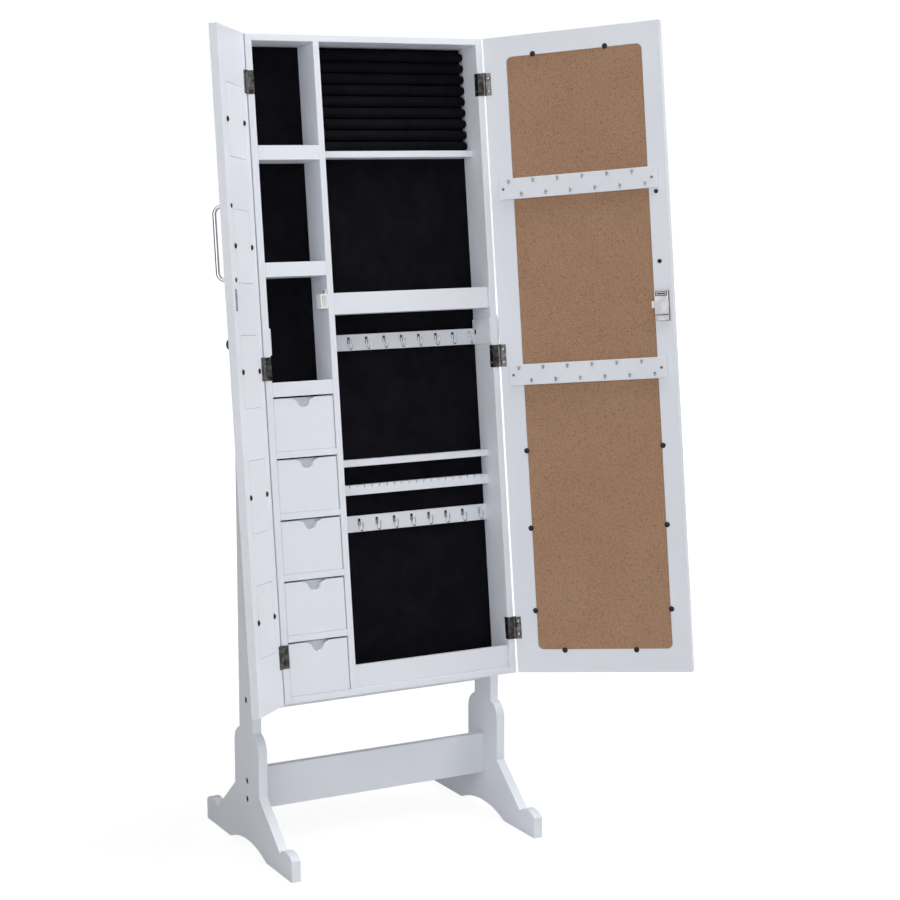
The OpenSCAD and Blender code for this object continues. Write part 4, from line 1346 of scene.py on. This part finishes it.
@dataclass
class Drawers:
    """The five drawers, each a lacquered front with a finger notch on a plain tray.

    Args:
        count: how many drawers there are.
        ease: rounding along the fronts' edges, in metres.
        tray_ease: rounding along the trays' edges.
    """

    count: int = 5
    ease: float = 0.9 * MM
    tray_ease: float = 0.6 * MM

    def build(self) -> None:
        """Builds and dresses each front and tray."""
        for row in range(1, self.count + 1):
            eased(f"drawer_{row}_front", f"drawer_{row}", LACQUER, self.ease, 3)
            eased(f"drawer_{row}_tray", f"drawer_{row}", LACQUER, self.tray_ease)


# --- doors ----------------------------------------------------------------------------------------
@dataclass
class Door:
    """What both doors have: a rebated frame, a pull, hinge leaves and their screws.

    Args:
        side: "left" or "right".
        ease: rounding along the frame's edges, in metres.
        washer_from: a screw wider than this has a washer and holds a backing.
        pull_from: a screw wider than this holds the pull.
        rail_from: a narrower screw longer than this holds a hook rail.
    """

    side: str
    ease: float = 0.9 * MM
    washer_from: float = 8.6 * MM
    pull_from: float = 7 * MM
    rail_from: float = 16 * MM
    axes: Axes = field(init=False)
    body: str = field(init=False)

    def __post_init__(self) -> None:
        """Finds the door's axes and the body that it is."""
        self.axes = Axes.door(f"{self.side}_door_swing")
        self.body = f"{self.side}_door"

    def frame_and_pull(self) -> None:
        """The frame board, the bar pull and the hinge leaves."""
        eased(f"{self.side}_door_frame", self.body, LACQUER, self.ease)
        eased(f"{self.side}_door_pull", self.body, CHROME, METAL_EASE)
        eased(f"{self.side}_hinge_leaves", self.body, NICKEL, LEAF_EASE)

    def screws(self) -> None:
        """The door's screws, sorted by the size of their solids."""
        groups: dict[tuple[float, float], list[Box]] = {}
        for low, high in self.axes.solids(f"{self.side}_door_screws"):
            size = high - low
            groups.setdefault((round(size.x / MM, 1), round(size.y / MM, 1)), []).append((low, high))
        for index, ((across, long), boxes) in enumerate(sorted(groups.items())):
            shape, finish, label = self.screw_shape(across * MM, long * MM)
            piece = SeatedScrews(f"{self.side}_{label}", shape, finish, self.axes, 1, 5 + index).build(boxes)
            replaced = [f"{self.side}_door_screws"] if index == 0 else []
            attach(piece, self.body, finish, *replaced)

    def screw_shape(self, across: float, long: float) -> tuple[ScrewShape, Finish, str]:
        """Chooses a door screw.

        Args:
            across: width of its head or washer, in metres.
            long: its whole length.

        Returns:
            Its shape, its finish and its name.
        """
        if across > self.washer_from:
            return (ScrewShape(4.1 * MM, 1.9 * MM, 1.3 * MM, long - 2.7 * MM, across / 2, 0.8 * MM),
                    BLACK_STEEL_AND_GROOVE_SHADE, "backing_screws")
        head_h, shank_r, finish, name = (
            (1.6 * MM, 2 * MM, BLACK_STEEL_AND_GROOVE_SHADE, "pull_screws") if across > self.pull_from else
            (1.0 * MM, 1.5 * MM, NICKEL, "rail_screws") if long > self.rail_from else
            (1.1 * MM, 1.3 * MM, BRIGHT_NICKEL, "leaf_screws"))
        return ScrewShape(across / 2, head_h, shank_r, long - head_h), finish, name


@dataclass
class LeftDoor(Door):
    """The narrow door with its five picture panes and their backings."""

    def build(self) -> None:
        """Builds and dresses every piece of the door."""
        self.frame_and_pull()
        self.screws()
        eased("photo_backings", self.body, CARD, PANEL_EASE)
        dress_node("photo_glass", GLASS)
        eased("strike_plate", self.body, CHROME, METAL_EASE)


@dataclass
class RightDoor(Door):
    """The wide door: mirror outside, cork inside, two hook rails, and the lock.

    Args:
        groove_top: depth below the lock's face at which its grooves start to take the painted shade, in
            metres.
        groove_floor: depth just below the grooves' floor, in metres.
        rail_ease: rounding along the hook rails' edges, in metres.
    """

    groove_top: float = 0.35 * MM
    groove_floor: float = 1.1 * MM
    rail_ease: float = 0.8 * MM

    def build(self) -> None:
        """Builds and dresses every piece of the door."""
        self.frame_and_pull()
        self.screws()
        eased("mirror", self.body, MIRROR, PANEL_EASE)
        dress_node("cork_board", CORK)
        eased("door_hook_rails", self.body, LACQUER, self.rail_ease)
        hooks = HookRow("necklace_hook_rows", "necklace_hooks", self.axes, 1, plate_w=3 * MM, plate_h=3 * MM,
                        plate_t=1.2 * MM, wire=0.9 * MM, throat=3.5 * MM, rise=3 * MM, stem=2.25 * MM,
                        finish=WIRE)
        attach(hooks.build(), self.body, WIRE, "necklace_hooks")
        self.lock()

    def lock(self) -> None:
        """The lock's satin block, with its grooves painted near-black as shade, its key plug and its bolt."""
        block = dress(eased_copy("lock_case", SMALL_EASE), SATIN)
        # The grooves' faces get the near-black finish as painted shade, standing in for the shade that falls
        # in them.
        block.data.materials.append(BLACK_STEEL_AND_GROOVE_SHADE.material())
        inverse = self.axes.inverse
        front = self.axes.box("lock_case")[1].y
        for face in block.data.polygons:
            if self.groove_top < front - (inverse @ face.center).y < self.groove_floor:
                face.material_index = 1
        attach(block, self.body, SATIN, "lock_case")
        eased("lock_key_plug", "key_plug", CHROME, SMALL_EASE)
        eased("lock_bolt", "bolt", WHITE_PLASTIC, PANEL_EASE)


# --- studio ---------------------------------------------------------------------------------------
@dataclass(frozen=True)
class Lamp:
    """A large square soft lamp.

    Args:
        name: its name.
        place: where it hangs, in metres.
        power: in watts.
        aim: the point that it faces.
        size: the side of its square, in metres.
    """

    name: str
    place: Place
    power: float
    aim: Place = (0.0, 0.0, 0.8)
    size: float = 2.4

    def build(self) -> None:
        """Hangs the lamp."""
        light = bpy.data.lights.new(self.name, "AREA")
        light.size = self.size
        light.energy = self.power
        made = bpy.data.objects.new(self.name, light)
        bpy.context.scene.collection.objects.link(made)
        made.location = self.place
        made.rotation_euler = (Vector(self.aim) - Vector(self.place)).to_track_quat("-Z", "Y").to_euler()


@dataclass
class Studio:
    """A pale floor, a plain bright room, soft lamps and the camera.

    Args:
        camera_place: where the camera stands, in metres.
        camera_yaw: how far it is turned from the back of the room to the right, in degrees.
        camera_pitch: how far it looks down, in degrees.
        lens: its focal length on a 36 mm sensor.
        floor_size: the side of the floor.
        floor_glow: brightness of the floor's own light.
        floor_share: share of that light near the object.
        room_light: brightness of the room on the object.
        reflected_low: brightness of the mirrored room at the horizon.
        reflected_high: brightness of the mirrored room overhead.
        seen_light: brightness of the room to the camera.
        lamps: the lamps.
    """

    camera_place: Place = (-1.75337, -3.37184, 1.33112)
    camera_yaw: float = 28.1841
    camera_pitch: float = 8.7592
    lens: float = 82.949
    floor_size: float = 24.0
    floor_glow: float = 1.2
    floor_share: float = 0.72
    room_light: float = 0.1
    reflected_low: float = 0.015
    reflected_high: float = 0.5
    seen_light: float = 1.02
    lamps: tuple[Lamp, ...] = (
        Lamp("left", (-3.13, -1.81, 1.97), 32.0),
        Lamp("left_front", (-1.72, -3.24, 1.78), 27.0),
        Lamp("right", (3.28, -1.53, 1.97), 41.0),
        Lamp("high_right", (1.67, -1.40, 3.91), 75.0),
        Lamp("top", (0.0, -0.33, 4.59), 50.0),
        Lamp("back", (-0.6, 2.9, 2.9), 18.0),
    )

    def floor(self) -> None:
        """A pale floor that reads as white to the camera and keeps the object's shadow."""
        half = self.floor_size / 2
        mesh = bpy.data.meshes.new("floor")
        mesh.from_pydata([(-half, -half, 0), (half, -half, 0), (half, half, 0), (-half, half, 0)], [],
                         [(0, 1, 2, 3)])
        made = make_object("floor", mesh)
        material = bpy.data.materials.new("pale_floor")
        material.use_nodes = True
        kit = Nodes(material.node_tree)
        shader = material.node_tree.nodes["Principled BSDF"]
        tone = kit.blend(kit.noise(3.0, 3.0), (0.80, 0.80, 0.81, 1), (0.83, 0.83, 0.835, 1))
        kit.feed(shader, {"Roughness": 0.9, "Base Color": tone})
        glow = kit.out("ShaderNodeEmission", {"Strength": self.floor_glow})
        far = kit.add("ShaderNodeVectorMath", {0: kit.place()}, operation="LENGTH").outputs["Value"]
        share = kit.math("MULTIPLY", self.seen(kit), kit.range(far, 0.5, 2.6, self.floor_share, 1.0))
        mixed = kit.out("ShaderNodeMixShader", {0: share, 1: shader.outputs[0], 2: glow})
        kit.feed(material.node_tree.nodes["Material Output"], {"Surface": mixed})
        made.data.materials.append(material)

    def seen(self, kit: Nodes) -> Socket:
        """1 for what the camera sees straight on or through glass."""
        rays = kit.add("ShaderNodeLightPath")
        return kit.math("MAXIMUM", rays.outputs["Is Camera Ray"], rays.outputs["Is Transmission Ray"])

    def room(self) -> None:
        """The room: white to the camera, an even light on the object, and a soft gradient in reflections."""
        world = bpy.data.worlds.new("room")
        bpy.context.scene.world = world
        world.use_nodes = True
        kit = Nodes(world.node_tree)
        up = kit.add("ShaderNodeSeparateXYZ", {0: kit.add("ShaderNodeTexCoord").outputs["Generated"]})
        mirrored = kit.range(up.outputs[2], 0.05, 0.9, self.reflected_low, self.reflected_high)
        glossy = kit.add("ShaderNodeLightPath").outputs["Is Glossy Ray"]
        strength = kit.mix(self.seen(kit), kit.mix(glossy, self.room_light, mirrored), self.seen_light)
        kit.feed(world.node_tree.nodes["Background"], {"Color": (1, 1, 1, 1), "Strength": strength})

    def camera(self) -> None:
        """The camera, to the left of the front and a little above the middle."""
        data = bpy.data.cameras.new("view")
        data.lens = self.lens
        data.sensor_width = 36.0
        data.clip_end = 60.0
        made = bpy.data.objects.new("view", data)
        bpy.context.scene.collection.objects.link(made)
        made.location = self.camera_place
        made.rotation_euler = (math.radians(90 - self.camera_pitch), 0.0, math.radians(-self.camera_yaw))
        bpy.context.scene.camera = made

    def build(self) -> None:
        """Sets the studio up."""
        self.floor()
        self.room()
        for lamp in self.lamps:
            lamp.build()
        self.camera()
        bpy.context.scene.view_settings.view_transform = "Standard"


def main() -> None:
    """Builds the armoire piece by piece, then the studio around it."""
    logging.basicConfig(level=logging.INFO, format="%(message)s")
    for part in (Stand(), Case(), Drawers(), LeftDoor("left"), RightDoor("right"), Studio()):
        LOG.info("building %s", type(part).__name__)
        part.build()


if __name__ == "__main__":
    main()
